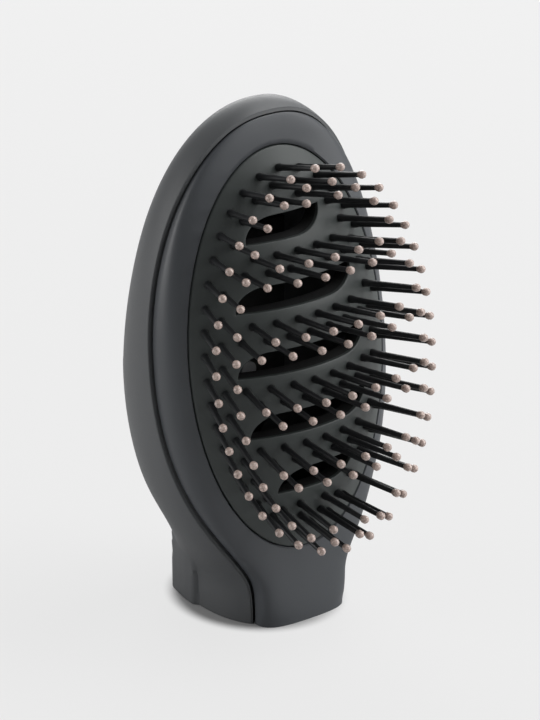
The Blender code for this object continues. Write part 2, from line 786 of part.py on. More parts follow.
def build_band_strips():
    """Four strips carry the double rows of pins between the vents."""
    for number, name in enumerate(BAND_STRIP_NAMES):
        own = band_places(number)
        high, low = max(z for _, z in own), min(z for _, z in own)
        edges = []
        for row, shift in ((low, -1), (high, 1)):
            reach = max(abs(x) for x, z in own if z == row) + STRIP_END_MARGIN
            edges.append((reach, HALF * (high + low) + shift * STRIP_HALF_HEIGHT))
        columns = []
        for step in range(STRIP_COLUMNS + 1):
            share = 2.0 * step / STRIP_COLUMNS - 1.0
            columns.append([(share * reach, z) for reach, z in edges])
        strip = strip_sheet(name, columns, PIN_NYLON)
        combine(strip, pin_set(f"{name}_pins", own, PIN_PROFILE), "UNION")


def build_bristle_plate():
    """Domed plate with five walled vents and a hole for every pin."""
    plate = dome_sheet("bristle_plate", 0.0, PLATE_THICKNESS, OVERRUN, PLATE_PLASTIC)
    outline = prism("plate_outline", [oval_outline()], PRISM_NEAR, PRISM_FAR)
    combine(plate, outline, "INTERSECT")
    vents = range(VENT_COUNT)
    depth = HALF * PLATE_THICKNESS
    walls = dome_sheet("vent_walls", depth, VENT_WALL_DEPTH - depth, 0.0)
    outer = [vent_outline(number, VENT_WALL) for number in vents]
    wall_outline = prism("vent_wall_outline", outer, PRISM_NEAR, PRISM_FAR)
    combine(walls, wall_outline, "INTERSECT")
    combine(plate, walls, "UNION")
    inner = [vent_outline(number) for number in vents]
    openings = prism("vent_openings", inner, PRISM_NEAR, PRISM_FAR)
    combine(plate, openings, "DIFFERENCE")
    places = edge_places()
    for number in range(len(BAND_STRIP_NAMES)):
        places += band_places(number)
    combine(plate, pin_set("pin_holes", places, PIN_HOLE_PROFILE), "DIFFERENCE")


def build_clamp_plate():
    """Plate that presses the pin strips against the bristle plate."""
    depth = STRIP_NEAR_DEPTH + STRIP_THICKNESS + GAP
    clamp = dome_sheet("pin_clamp_plate", depth, CLAMP_THICKNESS, OVERRUN, INNER_PLASTIC)
    edge = prism("clamp_outline", [oval_outline(-CLAMP_EDGE_INSET)], PRISM_NEAR, PRISM_FAR)
    combine(clamp, edge, "INTERSECT")
    windows = [vent_outline(number, VENT_WALL + GAP) for number in range(VENT_COUNT)]
    combine(clamp, prism("clamp_windows", windows, PRISM_NEAR, PRISM_FAR), "DIFFERENCE")


def build_front_frame():
    """Bezel and tongue in one moulding, with a ledge under the plate and a skirt."""
    heights = spaced_heights(
        0.0, CASING_WIDEST_HEIGHT, FRAME_TOP, FRAME_LOWER_RINGS, FRAME_UPPER_RINGS
    )
    arcs = [frame_arc(z, FRAME_ARC_POINTS) for z in heights]
    tip = Vector((0.0, seam_y(FRAME_TOP), FRAME_TOP))
    frame = loft("front_frame", arcs, tip, FRAME_PLASTIC)
    rings = (HOLLOW_LOWER_RINGS, HOLLOW_UPPER_RINGS)
    inset = WALL + SKIRT_GAP
    skirt = []
    for z in spaced_heights(TONGUE_BLEND_HIGH, CASING_WIDEST_HEIGHT, frame_top(inset), *rings):
        depth = HALF * (seam_y(z) - frame_front_y(z))
        skirt.append(frame_ring(z, inset, depth, SKIRT_DEPTH))
    combine(frame, loft("frame_skirt", skirt), "UNION")
    floor = PLATE_THICKNESS + GAP
    pocket = dome_sheet("plate_pocket", -OVERRUN, OVERRUN + floor, OVERRUN)
    outline = prism("pocket_outline", [oval_outline(GAP)], PRISM_NEAR - OVERRUN, PRISM_FAR)
    combine(pocket, outline, "INTERSECT")
    combine(frame, pocket, "DIFFERENCE")
    window = prism("frame_window", [oval_outline(-LEDGE_WIDTH)], PRISM_NEAR, PRISM_FAR + OVERRUN)
    combine(frame, window, "DIFFERENCE")
    blend = TONGUE_BLEND_HIGH - TONGUE_BLEND_LOW
    top = frame_top(inset + SKIRT_WALL)
    heights = spaced_heights(TONGUE_BLEND_HIGH, CASING_WIDEST_HEIGHT, top, *rings)
    low = [TONGUE_BLEND_LOW + blend * n / TONGUE_BLEND_STEPS for n in range(TONGUE_BLEND_STEPS)]
    hollow = []
    for z in [-OVERRUN, 0.0, HALF * TONGUE_BLEND_LOW] + low + heights:
        share = ease((z - TONGUE_BLEND_LOW) / blend)
        side = WALL + (SKIRT_GAP + SKIRT_WALL) * share
        depth = TONGUE_WALL + (floor + LEDGE_DEPTH - TONGUE_WALL) * share
        hollow.append(frame_ring(z, side, depth, SKIRT_DEPTH + OVERRUN))
    combine(frame, loft("frame_hollow", hollow), "DIFFERENCE")


def lug_block(name, side):
    """Upright lug on one side of the collar, which the flare above swallows."""
    inner = HALF * COLLAR_HALF_WIDTH
    plan = (
        (inner, LUG_FOOT_Y),
        (LUG_FOOT_X, LUG_FOOT_Y),
        (LUG_FRONT_X, LUG_FRONT_Y),
        (LUG_CREASE_X, LUG_CREASE_Y),
        (LUG_BACK_X, LUG_BACK_Y),
        (LUG_END_X, LUG_END_Y),
        (inner, LUG_END_Y),
    )
    rings = [[Vector((side * x, y, z)) for x, y in plan] for z in (0.0, LUG_TOP)]
    return loft(name, rings)


def build_rear_casing():
    """Hollow back shell with its oval collar, lugs and two bosses."""
    rings = (CASING_RING_POINTS, CASING_LOWER_RINGS, CASING_UPPER_RINGS)
    casing = casing_loft("rear_casing", 0.0, 0.0, *rings, CASING_PLASTIC)
    for side, name in ((-1, "lug_left"), (1, "lug_right")):
        combine(casing, lug_block(name, side), "UNION")
    rings = (CAVITY_RING_POINTS, CAVITY_LOWER_RINGS, CAVITY_UPPER_RINGS)
    combine(casing, casing_loft("casing_hollow", WALL, -OVERRUN, *rings), "DIFFERENCE")
    for number, z in enumerate(BOSS_HEIGHTS):
        seat = guide_y(z) + GUIDE_THICKNESS + GAP
        wall = casing_section(z)[3] - HALF * WALL
        boss = round_bar(f"boss_{number}", GUIDE_BOSS_RADIUS, seat, wall, z)
        combine(casing, boss, "UNION")
        pilot_end = guide_y(z) + SCREW_LENGTH + GAP
        pilot = round_bar(f"pilot_{number}", SCREW_RADIUS + GAP, seat - OVERRUN, pilot_end, z)
        combine(casing, pilot, "DIFFERENCE")
    combine(casing, seam_block("seam_front", SEAM_GAP), "DIFFERENCE")


def oval_tube(name, bottom, top, inset, wall, material):
    """Short oval tube inside the collar."""
    outer = [casing_ring(z, CAVITY_RING_POINTS, inset) for z in (bottom, top)]
    tube = loft(name, outer, None, material)
    ends = (bottom - OVERRUN, top + OVERRUN)
    bore = [casing_ring(z, CAVITY_RING_POINTS, inset + wall) for z in ends]
    combine(tube, loft(f"{name}_bore", bore), "DIFFERENCE")


def build_coupling():
    """Socket and seal that take the handle's spigot."""
    inset = WALL + SOCKET_CLEARANCE
    oval_tube("coupling_socket", SOCKET_BOTTOM, SOCKET_TOP, inset, SOCKET_WALL, INNER_PLASTIC)
    bottom = SOCKET_TOP + GAP
    oval_tube("socket_seal", bottom, bottom + SEAL_HEIGHT, inset, SEAL_WALL, SEAL_RUBBER)


def guide_y(z):
    """Front face of the air guide: swept back at its foot and upright above."""
    share = ease((z - GUIDE_BOTTOM) / GUIDE_SWEEP_HEIGHT)
    return GUIDE_LOW_Y + (GUIDE_HIGH_Y - GUIDE_LOW_Y) * share


def round_bar(name, radius, near, far, z, material=None):
    """Cylinder along Y on the middle plane."""
    shape = bmesh.new()
    bmesh.ops.create_cone(
        shape, cap_ends=True, segments=ROUND_SIDES, radius1=radius, radius2=radius, depth=1.0
    )
    for corner in shape.verts:
        across, up, share = corner.co.x, corner.co.y, corner.co.z + HALF
        corner.co = Vector((across, near + (far - near) * share, z + up))
    return add_object(name, finish_mesh(name, shape), material)


BOSS_HEIGHTS = (GUIDE_BOSS_LOW, GUIDE_BOSS_HIGH)


def build_air_guide():
    """Curved plate that turns the air towards the vents, with its two screw holes."""
    heights = [GUIDE_BOTTOM + GUIDE_SWEEP_HEIGHT * n / GUIDE_STEPS for n in range(GUIDE_STEPS + 1)]
    heights.append(GUIDE_TOP)
    rings = []
    for z in heights:
        near, far = guide_y(z), guide_y(z) + GUIDE_THICKNESS
        corners = ((-1, near), (1, near), (1, far), (-1, far))
        rings.append([Vector((side * GUIDE_HALF_WIDTH, y, z)) for side, y in corners])
    guide = loft("air_guide", rings, None, INNER_PLASTIC)
    for number, z in enumerate(BOSS_HEIGHTS):
        face = guide_y(z)
        hole = round_bar(
            f"guide_hole_{number}", SCREW_RADIUS + GAP, face - OVERRUN, face + OVERRUN, z
        )
        combine(guide, hole, "DIFFERENCE")


def build_guide_screws():
    """Two screws that hold the guide to the casing's bosses."""
    profile = (
        (-SCREW_HEAD_HEIGHT, SCREW_HEAD_RADIUS),
        (0.0, SCREW_HEAD_RADIUS),
        (0.0, SCREW_RADIUS),
        (SCREW_LENGTH, SCREW_RADIUS),
    )
    for number, z in enumerate(BOSS_HEIGHTS, start=1):
        name = f"guide_screw_{number}"
        screw = add_object(name, turned_mesh(name, profile, ROUND_SIDES), STEEL)
        screw.location = (0.0, guide_y(z) - GAP, z)
        screw.rotation_euler = (-HALF * math.pi, 0.0, 0.0)


def main():
    """Build every piece of the brush head."""
    build_rear_casing()
    build_front_frame()
    build_bristle_plate()
    build_clamp_plate()
    build_edge_strips()
    build_band_strips()
    build_coupling()
    build_air_guide()
    build_guide_screws()
    for thing in PARTS.objects:
        smooth_rounds(thing)


main()
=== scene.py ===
"""Dress of the hot air brush head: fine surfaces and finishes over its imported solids.

Every length is in metres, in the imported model's own frame: +Z up, the pins face -Y and
z = 0 is the collar's rim. The pieces are surfaces over grids of two parameters.
"""

import logging
import math
from collections.abc import Callable
from dataclasses import dataclass, field
from enum import Enum

import bmesh
import bpy
import numpy as np
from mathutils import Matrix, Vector

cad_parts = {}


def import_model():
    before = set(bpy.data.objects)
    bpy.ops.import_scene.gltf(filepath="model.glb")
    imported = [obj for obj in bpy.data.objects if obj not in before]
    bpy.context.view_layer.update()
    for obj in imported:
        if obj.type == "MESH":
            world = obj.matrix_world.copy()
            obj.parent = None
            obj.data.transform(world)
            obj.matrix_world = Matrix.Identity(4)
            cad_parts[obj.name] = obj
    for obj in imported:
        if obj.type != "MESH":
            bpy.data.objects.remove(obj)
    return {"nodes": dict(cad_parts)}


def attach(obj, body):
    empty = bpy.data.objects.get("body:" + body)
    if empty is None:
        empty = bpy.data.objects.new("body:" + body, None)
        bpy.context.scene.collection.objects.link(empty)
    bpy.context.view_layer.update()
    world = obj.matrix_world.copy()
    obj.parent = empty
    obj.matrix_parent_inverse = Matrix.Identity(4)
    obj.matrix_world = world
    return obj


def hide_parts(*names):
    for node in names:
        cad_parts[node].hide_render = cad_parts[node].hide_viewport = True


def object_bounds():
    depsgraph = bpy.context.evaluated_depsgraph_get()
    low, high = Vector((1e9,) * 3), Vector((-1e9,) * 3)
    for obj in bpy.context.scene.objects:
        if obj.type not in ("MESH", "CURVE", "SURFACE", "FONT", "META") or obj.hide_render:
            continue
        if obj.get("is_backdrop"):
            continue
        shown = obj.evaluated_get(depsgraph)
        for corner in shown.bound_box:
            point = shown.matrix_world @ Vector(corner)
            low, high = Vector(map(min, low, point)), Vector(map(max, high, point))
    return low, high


LOG = logging.getLogger("hot_air_brush")
MM = 0.001
WELD = 1e-6
TINY = 1e-9
SHORTEST = 1e-12
HALVINGS = 50
ROUND_SHARE = 0.98
QUARTER = 0.5 * math.pi
Array = np.ndarray
# Where a smooth step starts, and how far it takes from there
Climb = tuple[float, float]


# --------------------------------------------------------------------------- curves
def oval_share(place: Array, centre: float, reach: Array, power: float) -> Array:
    """Share of the full size that a superellipse keeps: (1 - |t|^p)^(1/p).

    Args:
        place: Where along the axis.
        centre: Where the superellipse is widest.
        reach: Distance from there to its end.
        power: The superellipse's power p.

    Returns:
        Shares between 0 and 1.
    """
    share = np.minimum(np.abs(np.asarray(place, float) - centre) / reach, 1.0)
    return (1.0 - share**power) ** (1.0 / power)


def held_at(low: Array, size: Array, least: Array, power: float = 8.0) -> Array:
    """A size that is held at its least one, softly, where it is low: (a^p + b^p)^(1/p)."""
    held = (np.abs(size) ** power + np.abs(least) ** power) ** (1.0 / power)
    return np.where(low, held, size)


def climb(place: Array, start: float, reach: float) -> Array:
    """Smooth step from 0 at the start to 1 a reach further on: 3t^2 - 2t^3."""
    share = np.clip((place - start) / reach, 0.0, 1.0)
    return share * share * (3.0 - 2.0 * share)


def blend(first: Array, second: Array, share: Array) -> Array:
    """Straight blend from the first value to the second."""
    return first + (second - first) * share


def round_off(radius: Array, share: Array) -> Array:
    """How far a rounded edge lies below its corner: r (1 - sqrt(1 - 0.98 s^2))."""
    return radius * (1.0 - np.sqrt(1.0 - share**2 * ROUND_SHARE))


def quarter_round(radius: float) -> list[tuple[float, float]]:
    """Four steps of a rounded edge: r (1 - sin t) and r (1 - cos t), up to a quarter turn."""
    turns = np.linspace(0.0, QUARTER, 5)[1:]
    return [(radius * (1.0 - math.sin(t)), radius * (1.0 - math.cos(t))) for t in turns]


def stack(x: Array, y: Array, z: Array) -> Array:
    """Points from their three coordinates, which are broadcast to one shape."""
    return np.stack(np.broadcast_arrays(x, y, z), axis=-1).astype(float)


def unit(vectors: Array) -> Array:
    """The vectors brought to length 1."""
    return vectors / np.maximum(np.linalg.norm(vectors, axis=-1, keepdims=True), SHORTEST)


def run_along(lines: Array) -> Array:
    """Length from the first point of each line, where the last axis but one runs along it."""
    steps = np.linalg.norm(np.diff(lines, axis=-2), axis=-1)
    return np.concatenate([np.zeros_like(steps[..., :1]), np.cumsum(steps, axis=-1)], axis=-1)


def even_places(line: Array, count: int) -> Array:
    """Points spaced evenly by length along a fine polyline of shape (n, 2)."""
    run = run_along(line)
    wanted = np.linspace(0.0, run[-1], count)
    return np.stack([np.interp(wanted, run, axis) for axis in line.T], -1)


# --------------------------------------------------------------------------- meshes
@dataclass
class Shell:
    """A mesh that grows patch by patch and is then closed into one object."""

    name: str
    points: list[Array] = field(default_factory=list)
    faces: list[Array] = field(default_factory=list)
    count: int = 0

    def add(self, grid: Array) -> Array:
        """Add a grid of points and return the grid of their numbers."""
        shape = grid.shape[:-1]
        numbers = self.count + np.arange(int(np.prod(shape))).reshape(shape)
        self.points.append(grid.reshape(-1, 3))
        self.count += numbers.size
        return numbers

    def skin(self, numbers: Array, keep: Array | None = None) -> None:
        """Give a grid of numbers a face for every cell.

        Args:
            numbers: Point numbers of shape (rows, columns).
            keep: Which cells get a face, of shape (rows - 1, columns - 1).
        """
        corners = (numbers[:-1, :-1], numbers[:-1, 1:], numbers[1:, 1:], numbers[1:, :-1])
        quads = np.stack(corners, axis=-1)
        self.faces.append(quads[keep] if keep is not None else quads.reshape(-1, 4))

    def wrap(self, numbers: Array) -> None:
        """Skin a grid of numbers whose last column joins its first."""
        self.skin(np.concatenate([numbers, numbers[:, :1]], axis=1))

    def make(self, finish: "Finish", angle: float = 38.0) -> bpy.types.Object:
        """Close the mesh, turn its faces outward and give it a finish.

        Args:
            finish: The finish of the whole piece.
            angle: Edges that turn by more degrees than this are shaded sharp.

        Returns:
            The piece, at the origin.
        """
        mesh = bpy.data.meshes.new(self.name)
        faces = np.concatenate(self.faces)
        mesh.from_pydata(np.concatenate(self.points).tolist(), [], faces.tolist())
        shape = bmesh.new()
        shape.from_mesh(mesh)
        bmesh.ops.remove_doubles(shape, verts=shape.verts, dist=WELD)
        bmesh.ops.dissolve_degenerate(shape, edges=shape.edges, dist=WELD)
        bmesh.ops.recalc_face_normals(shape, faces=shape.faces)
        shape.to_mesh(mesh)
        open_edges = sum(1 for edge in shape.edges if len(edge.link_faces) != 2)
        if open_edges:
            LOG.warning("%s has %d open edges", self.name, open_edges)
        shape.free()
        mesh.shade_smooth()
        mesh.set_sharp_from_angle(angle=math.radians(angle))
        mesh.materials.append(finish.material())
        piece = bpy.data.objects.new(self.name, mesh)
        bpy.context.scene.collection.objects.link(piece)
        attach(piece, "root")
        return piece


# --------------------------------------------------------------------------- finishes
def linear(code: str) -> tuple[float, float, float, float]:
    """Linear colour of an sRGB hex value."""
    parts = [int(code[n : n + 2], 16) / 255.0 for n in (0, 2, 4)]
    turned = [c / 12.92 if c <= 0.04045 else ((c + 0.055) / 1.055) ** 2.4 for c in parts]
    return (turned[0], turned[1], turned[2], 1.0)


def empty_tree(owner: bpy.types.Material | bpy.types.World) -> bpy.types.NodeTree:
    """Node tree of a material or a world, with no nodes in it."""
    owner.use_nodes = True
    owner.node_tree.nodes.clear()
    return owner.node_tree


def add_node(
    tree: bpy.types.NodeTree, kind: str, settings: dict[str, str] | None = None, **inputs: object
) -> bpy.types.Node:
    """Add a node with its settings, and fill or link its inputs.

    Args:
        tree: The node tree.
        kind: The node's type, without the ShaderNode that it starts with.
        settings: Values of the node's own properties.
        inputs: For each input, with _ for a space or before a number, a value or an output.

    Returns:
        The node.
    """
    node = tree.nodes.new(f"ShaderNode{kind}")
    for key, value in (settings or {}).items():
        setattr(node, key, value)
    for key, value in inputs.items():
        number = key[1:]
        socket = node.inputs[int(number) if number.isdigit() else key.replace("_", " ")]
        if isinstance(value, bpy.types.NodeSocket):
            tree.links.new(value, socket)
        else:
            socket.default_value = value
    return node


class Grain(Enum):
    """How the tool's face, or the making, left a surface, and how deep in millimetres."""

    ERODED = ("spark-eroded mould face", 0.012)
    SATIN = ("fine satin mould face", 0.012)
    DIPPED = ("dip-coated", 0.007)
    TURNED = ("turned and plated", 0.004)
    RUBBER = ("pressed rubber", 0.012)

    @property
    def depth(self) -> float:
        """Depth of the bump in metres."""
        return self.value[1] * MM


@dataclass(frozen=True)
class Finish:
    """One material with the marks that its making leaves.

    The base colour varies a little in soft patches, the gloss varies with the grain, and
    the grain is a bump of noise whose wavelength is given in millimetres.
    """

    name: str
    colour: str
    shade: str
    grain: Grain
    roughness: float
    rough_range: float = 0.06
    grain_mm: float = 0.5
    patch_mm: float = 14.0
    patch_contrast: float = 1.0
    metallic: float = 0.0
    coat: float = 0.0
    coat_roughness: float = 0.25
    sheen: float = 0.0
    ior: float = 1.5

    def material(self) -> bpy.types.Material:
        """The Blender material, made once and then shared."""
        if self.name in bpy.data.materials:
            return bpy.data.materials[self.name]
        material = bpy.data.materials.new(self.name)
        tree = empty_tree(material)
        place = add_node(tree, "TexCoord").outputs["Object"]
        patch, grain = (
            add_node(tree, "TexNoise", Vector=place, Scale=1.0 / (size * MM), Detail=detail)
            for size, detail in ((self.patch_mm, 2.0), (self.grain_mm, 3.0))
        )
        spread = 0.5 / self.patch_contrast
        gloss = (self.roughness - self.rough_range, self.roughness + self.rough_range)
        patches = {"From_Min": 0.5 - spread, "From_Max": 0.5 + spread}
        share = add_node(tree, "MapRange", Value=patch.outputs[0], **patches)
        tones = {"_6": linear(self.shade), "_7": linear(self.colour)}
        mixed = add_node(tree, "Mix", {"data_type": "RGBA"}, _0=share.outputs[0], **tones)
        rough = add_node(
            tree, "MapRange", Value=grain.outputs[0], To_Min=gloss[0], To_Max=gloss[1]
        )
        bump = add_node(
            tree, "Bump", Height=grain.outputs[0], Distance=self.grain.depth, Strength=1.0
        )
        shader = add_node(
            tree,
            "BsdfPrincipled",
            Base_Color=mixed.outputs[2],
            Roughness=rough.outputs[0],
            Normal=bump.outputs[0],
            IOR=self.ior,
            Metallic=self.metallic,
            Coat_Weight=self.coat,
            Coat_Roughness=self.coat_roughness,
            Sheen_Weight=self.sheen,
        )
        add_node(tree, "OutputMaterial", Surface=shader.outputs[0])
        return material


# ABS moulded in a spark-eroded tool: a dry charcoal skin with a fine even grain
CASING_ABS = Finish(
    "grained_abs_casing", "505254", "4B4D4F", Grain.ERODED, 0.52, grain_mm=0.45
)
# The same ABS in a finer tool: a touch bluer and smoother, so its edges catch light
BEZEL_ABS = Finish("satin_abs_bezel", "43464A", "3E4145", Grain.SATIN, 0.46, grain_mm=0.30)
# Glass-filled nylon plate: green-grey, with a drier look than the bezel
PLATE_NYLON = Finish(
    "glass_filled_nylon_plate", "393E3D", "323736", Grain.SATIN, 0.50, grain_mm=0.35
)
# Moulded black nylon pins: almost black, with a soft sheen along each shaft
PIN_NYLON = Finish(
    "moulded_black_nylon_pins", "1C1D1F", "18191B", Grain.SATIN, 0.45, grain_mm=0.30
)
# Epoxy-dipped ball tips: warm pearl beige, speckled with a darker brown under a soft gloss
TIP_EPOXY = Finish(
    "pearl_epoxy_tips", "CDB9AF", "917E77", Grain.DIPPED, 0.32,
    grain_mm=0.45, patch_mm=0.50, patch_contrast=2.6, coat=0.5,
)
# Black ABS mouldings inside the head, darkened past their own colour to paint the shade that falls
# inside the head; the same black paints shade on the vents' deep walls
BLACK_ABS_AND_PAINTED_SHADE = Finish("black_abs_and_painted_shade", "0E0E0F", "0B0B0C", Grain.ERODED, 0.70)
# Silicone seal: soft black that takes no highlight
SEAL_SILICONE = Finish(
    "pressed_silicone_seal", "121212", "0E0E0E", Grain.RUBBER, 0.75, grain_mm=0.8, sheen=0.1
)
# Zinc-plated steel screws: pale metal with a fine turned sparkle
SCREW_STEEL = Finish(
    "zinc_plated_steel_screws", "C9CACC", "B4B6B8", Grain.TURNED, 0.32,
    grain_mm=0.2, metallic=1.0,
)


# --------------------------------------------------------------------------- shared form
@dataclass(frozen=True)
class HeadForm:
    """Curves of the head that its casing, frame, plate and pins share."""

    crown_height: float = 0.1384
    casing_half_width: float = 0.0366
    casing_width_power: float = 2.1
    widest_height: float = 0.072
    deepest_height: float = 0.069
    back_reach: float = 0.0292
    front_reach: float = 0.0250
    crown_y: float = 0.0068
    collar_half_width: float = 0.0188
    collar_back_reach: float = 0.0205
    collar_front_reach: float = 0.0237
    collar_middle_y: float = 0.0055
    collar_climb: Climb = (0.0, 0.030)
    casing_middle_y: float = 0.0035
    section_power: float = 2.43
    back_height_power: float = 1.6
    back_turn: float = 0.05
    back_power_fall: float = 0.38
    head_climb: Climb = (0.030, 0.072)
    neck_power_dip: float = 0.45
    neck_dip_height: float = 0.023
    neck_dip_reach: float = 0.009
    seam_rim_y: float = -0.0112
    seam_head_y: float = 0.0070
    seam_power: float = 2.5
    seam_turn_height: float = 0.045
    seam_crown_fall: float = 0.0056
    seam_fall_reach: float = 0.0634
    lip_width: float = 0.0012
    lip_rim_width: float = 0.0004
    frame_top: float = 0.135056
    bezel_top_depth: float = 0.0009
    bezel_top_power: float = 3.0
    tongue_front_y: float = -0.0173
    frame_section_power: float = 3.6
    foot_power_fall: float = 0.6
    foot_climb: Climb = (0.0, 0.004)
    neck_power_rise: float = 2.2
    neck_climb: Climb = (0.001, 0.008)
    neck_end: Climb = (0.019, 0.017)
    least_kept: float = 0.05
    plate_half_width: float = 0.0310
    plate_top: float = 0.1270
    plate_bottom: float = 0.0208
    dome_apex_y: float = -0.0192
    dome_apex_height: float = 0.0545
    dome_side_drop: float = 0.0107
    dome_top_drop: float = 0.0185
    fine_steps: int = 6000

    @property
    def plate_middle(self) -> float:
        """Height of the plate's centre."""
        return 0.5 * (self.plate_top + self.plate_bottom)

    @property
    def plate_half_height(self) -> float:
        """Half of the plate's height."""
        return 0.5 * (self.plate_top - self.plate_bottom)

    @property
    def dome_top_reach(self) -> float:
        """Height from the dome's apex to the plate's top."""
        return self.plate_top - self.dome_apex_height

    def seam_y(self, z: Array) -> Array:
        """Where casing and frame meet.

        It is rim + (head - rim) t^2.5 / (t^2.5 + h^2.5), less a fall that grows with the
        square of the height above the crown less the fall's reach.
        """
        rise = np.maximum(z, 0.0) ** self.seam_power
        share = rise / (rise + self.seam_turn_height**self.seam_power)
        fall = np.maximum(z - self.crown_height + self.seam_fall_reach, 0.0) / self.seam_fall_reach
        return blend(self.seam_rim_y, self.seam_head_y, share) - self.seam_crown_fall * fall**2

    def dome_y(self, x: Array, z: Array) -> Array:
        """The plate's front: the apex plus a drop with x squared and one with z squared."""
        side = self.dome_side_drop * (x / self.plate_half_width) ** 2
        end = self.dome_top_drop * ((z - self.dome_apex_height) / self.dome_top_reach) ** 2
        return self.dome_apex_y + side + end

    def casing_section(self, z: Array, inset: Array = 0.0) -> tuple[Array, Array, Array, Array]:
        """Half width, middle, front reach and back reach of the casing at a height.

        Each size is a superellipse of the height. Below the widest place it is held at
        the collar's size by a soft largest, and the middle eases from collar to crown.
        The back's share t of the height goes in as sqrt(t^2 + s^2 (1 - t^2)), so that its
        deepest place turns softly.
        """
        z = np.asarray(z, float)
        wide = self.crown_height - self.widest_height - inset
        deep = self.crown_height - self.deepest_height - inset
        place = np.minimum(np.abs(z - self.deepest_height) / deep, 1.0)
        place = np.sqrt(place**2 + self.back_turn**2 * (1.0 - place**2))
        width = oval_share(z, self.widest_height, wide, self.casing_width_power)
        back = oval_share(place, 0.0, 1.0, self.back_height_power)
        front = oval_share(z, self.deepest_height, deep, 2.0)
        sizes = (
            (width, self.casing_half_width, self.collar_half_width, self.widest_height),
            (front, self.front_reach, self.collar_front_reach, self.deepest_height),
            (back, self.back_reach, self.collar_back_reach, self.deepest_height),
        )
        width, front, back = (
            held_at(z < turn, (full - inset) * kept, least - inset)
            for kept, full, least, turn in sizes
        )
        foot = blend(self.collar_middle_y, self.casing_middle_y, climb(z, *self.collar_climb))
        middle = blend(foot, self.crown_y, climb(z, self.deepest_height, deep))
        return width, middle, middle - (self.crown_y - front), self.crown_y + back - middle

    def back_power(self, z: Array) -> Array:
        """The section's power behind its middle, which falls up the head and dips at the neck.

        It is p - f climb(head) - d exp(-((z - z0) / r)^2).
        """
        bell = np.exp(-(((z - self.neck_dip_height) / self.neck_dip_reach) ** 2))
        fall = self.back_power_fall * climb(z, *self.head_climb)
        return self.section_power - fall - self.neck_power_dip * bell

    def casing_level(self, points: Array) -> Array:
        """Below 0 inside the casing's section |x/w|^p + |(y - m)/r|^p = 1, above 0 outside."""
        x, y, z = points[..., 0], points[..., 1], points[..., 2]
        width, middle, front, back = self.casing_section(np.minimum(z, self.crown_height))
        reach = np.where(y > middle, back, front)
        power = np.where(y > middle, self.back_power(z), self.section_power)
        inside = np.abs(x / np.maximum(width, TINY)) ** power
        inside = inside + np.abs((y - middle) / np.maximum(reach, TINY)) ** power
        return np.where(z >= self.crown_height, 1.0, inside - 1.0)

    def seam_reach(self, z: Array, inset: Array, back: float = 0.0) -> Array:
        """How far out in the inset section the seam lies, or a line behind it: 1 at its end."""
        _, middle, front, rear = self.casing_section(z, inset)
        seam = self.seam_y(z) + back
        return np.abs(seam - middle) / np.maximum(np.where(seam > middle, rear, front), TINY)

    def seam_width(self, z: Array, inset: Array, back: float = 0.0) -> Array:
        """Half width of the inset section at the seam, or at a line behind it."""
        out = self.seam_reach(z, inset, back)
        return self.casing_section(z, inset)[0] * oval_share(out, 0.0, 1.0, self.section_power)

    def seam_top(self, back: float) -> float:
        """Height at which the section closes on a line behind the seam, by halving."""
        low, high = self.widest_height, self.crown_height
        for _ in range(HALVINGS):
            z = 0.5 * (low + high)
            low, high = (z, high) if self.seam_reach(z, 0.0, back) < 1.0 else (low, z)
        return low

    def frame_power(self, z: Array) -> Array:
        """The frame's section power: rounder at the foot and squarer at the neck."""
        foot = self.foot_power_fall * (1.0 - climb(z, *self.foot_climb))
        neck = climb(z, *self.neck_climb) * (1.0 - climb(z, *self.neck_end))
        return self.frame_section_power - foot + self.neck_power_rise * neck

    def frame_width_at(self, z: Array, inset: Array = 0.0) -> Array:
        """Half width of the front frame, or of its hollow when inset: the casing's less its lip."""
        lip = blend(self.lip_rim_width, self.lip_width, climb(z, *self.collar_climb))
        return self.seam_width(z, lip + inset)

    def side_line(self, width_at: Callable[[Array], Array], top: float, count: int) -> Array:
        """Right half of an outline from the rim to its top, spaced evenly by length.

        Args:
            width_at: Half width as a function of the height.
            top: Height at which the width is 0.
            count: How many points.

        Returns:
            Places of shape (count, 2), as x and z.
        """
        share = np.linspace(0.0, 1.0, self.fine_steps)
        z = top * np.where(share < 0.5, share, 0.5 + 0.5 * np.sin(math.pi * (share - 0.5)))
        side = even_places(np.stack([width_at(z), z], -1), count)
        side[-1] = (0.0, top)
        return side

    def frame_front_y(self, z: Array) -> Array:
        """Front of the frame's section, so that it is flush with the plate's edge."""
        z = np.asarray(z, float)
        low, top, seam = self.plate_bottom, self.plate_top, self.seam_y(z)
        tongue = blend(self.tongue_front_y, self.dome_y(0.0, low), np.clip(z / low, 0.0, 1.0))
        above = self.frame_top - top
        kept = oval_share(np.maximum(z, top), top, above, self.bezel_top_power)
        depth = self.seam_y(top) - self.dome_y(0.0, top)
        depth = blend(depth, self.bezel_top_depth, np.clip((z - top) / above, 0.0, 1.0))
        bezel = seam - depth * kept
        edge = oval_share(z, self.plate_middle, self.plate_half_height, 2.0)
        edge = self.plate_half_width * edge
        kept = oval_share(edge, 0.0, self.frame_width_at(z) + TINY, self.frame_power(z))
        beside = seam - (seam - self.dome_y(edge, z)) / np.maximum(kept, self.least_kept)
        return np.where(z <= low, tongue, np.where(z >= top, bezel, beside))

    def frame_y(self, x: Array, z: Array, inset: Array = 0.0, depth: Array = 0.0) -> Array:
        """The frame's front surface, or its hollow's when inset and set back.

        It is seam + (front - seam)(1 - |x/w|^p)^(1/p) at every height.
        """
        width = np.maximum(self.frame_width_at(z, inset), TINY)
        kept = oval_share(x / width, 0.0, 1.0, self.frame_power(z))
        seam = self.seam_y(z)
        return seam + (np.minimum(self.frame_front_y(z) + depth, seam) - seam) * kept


FORM = HeadForm()


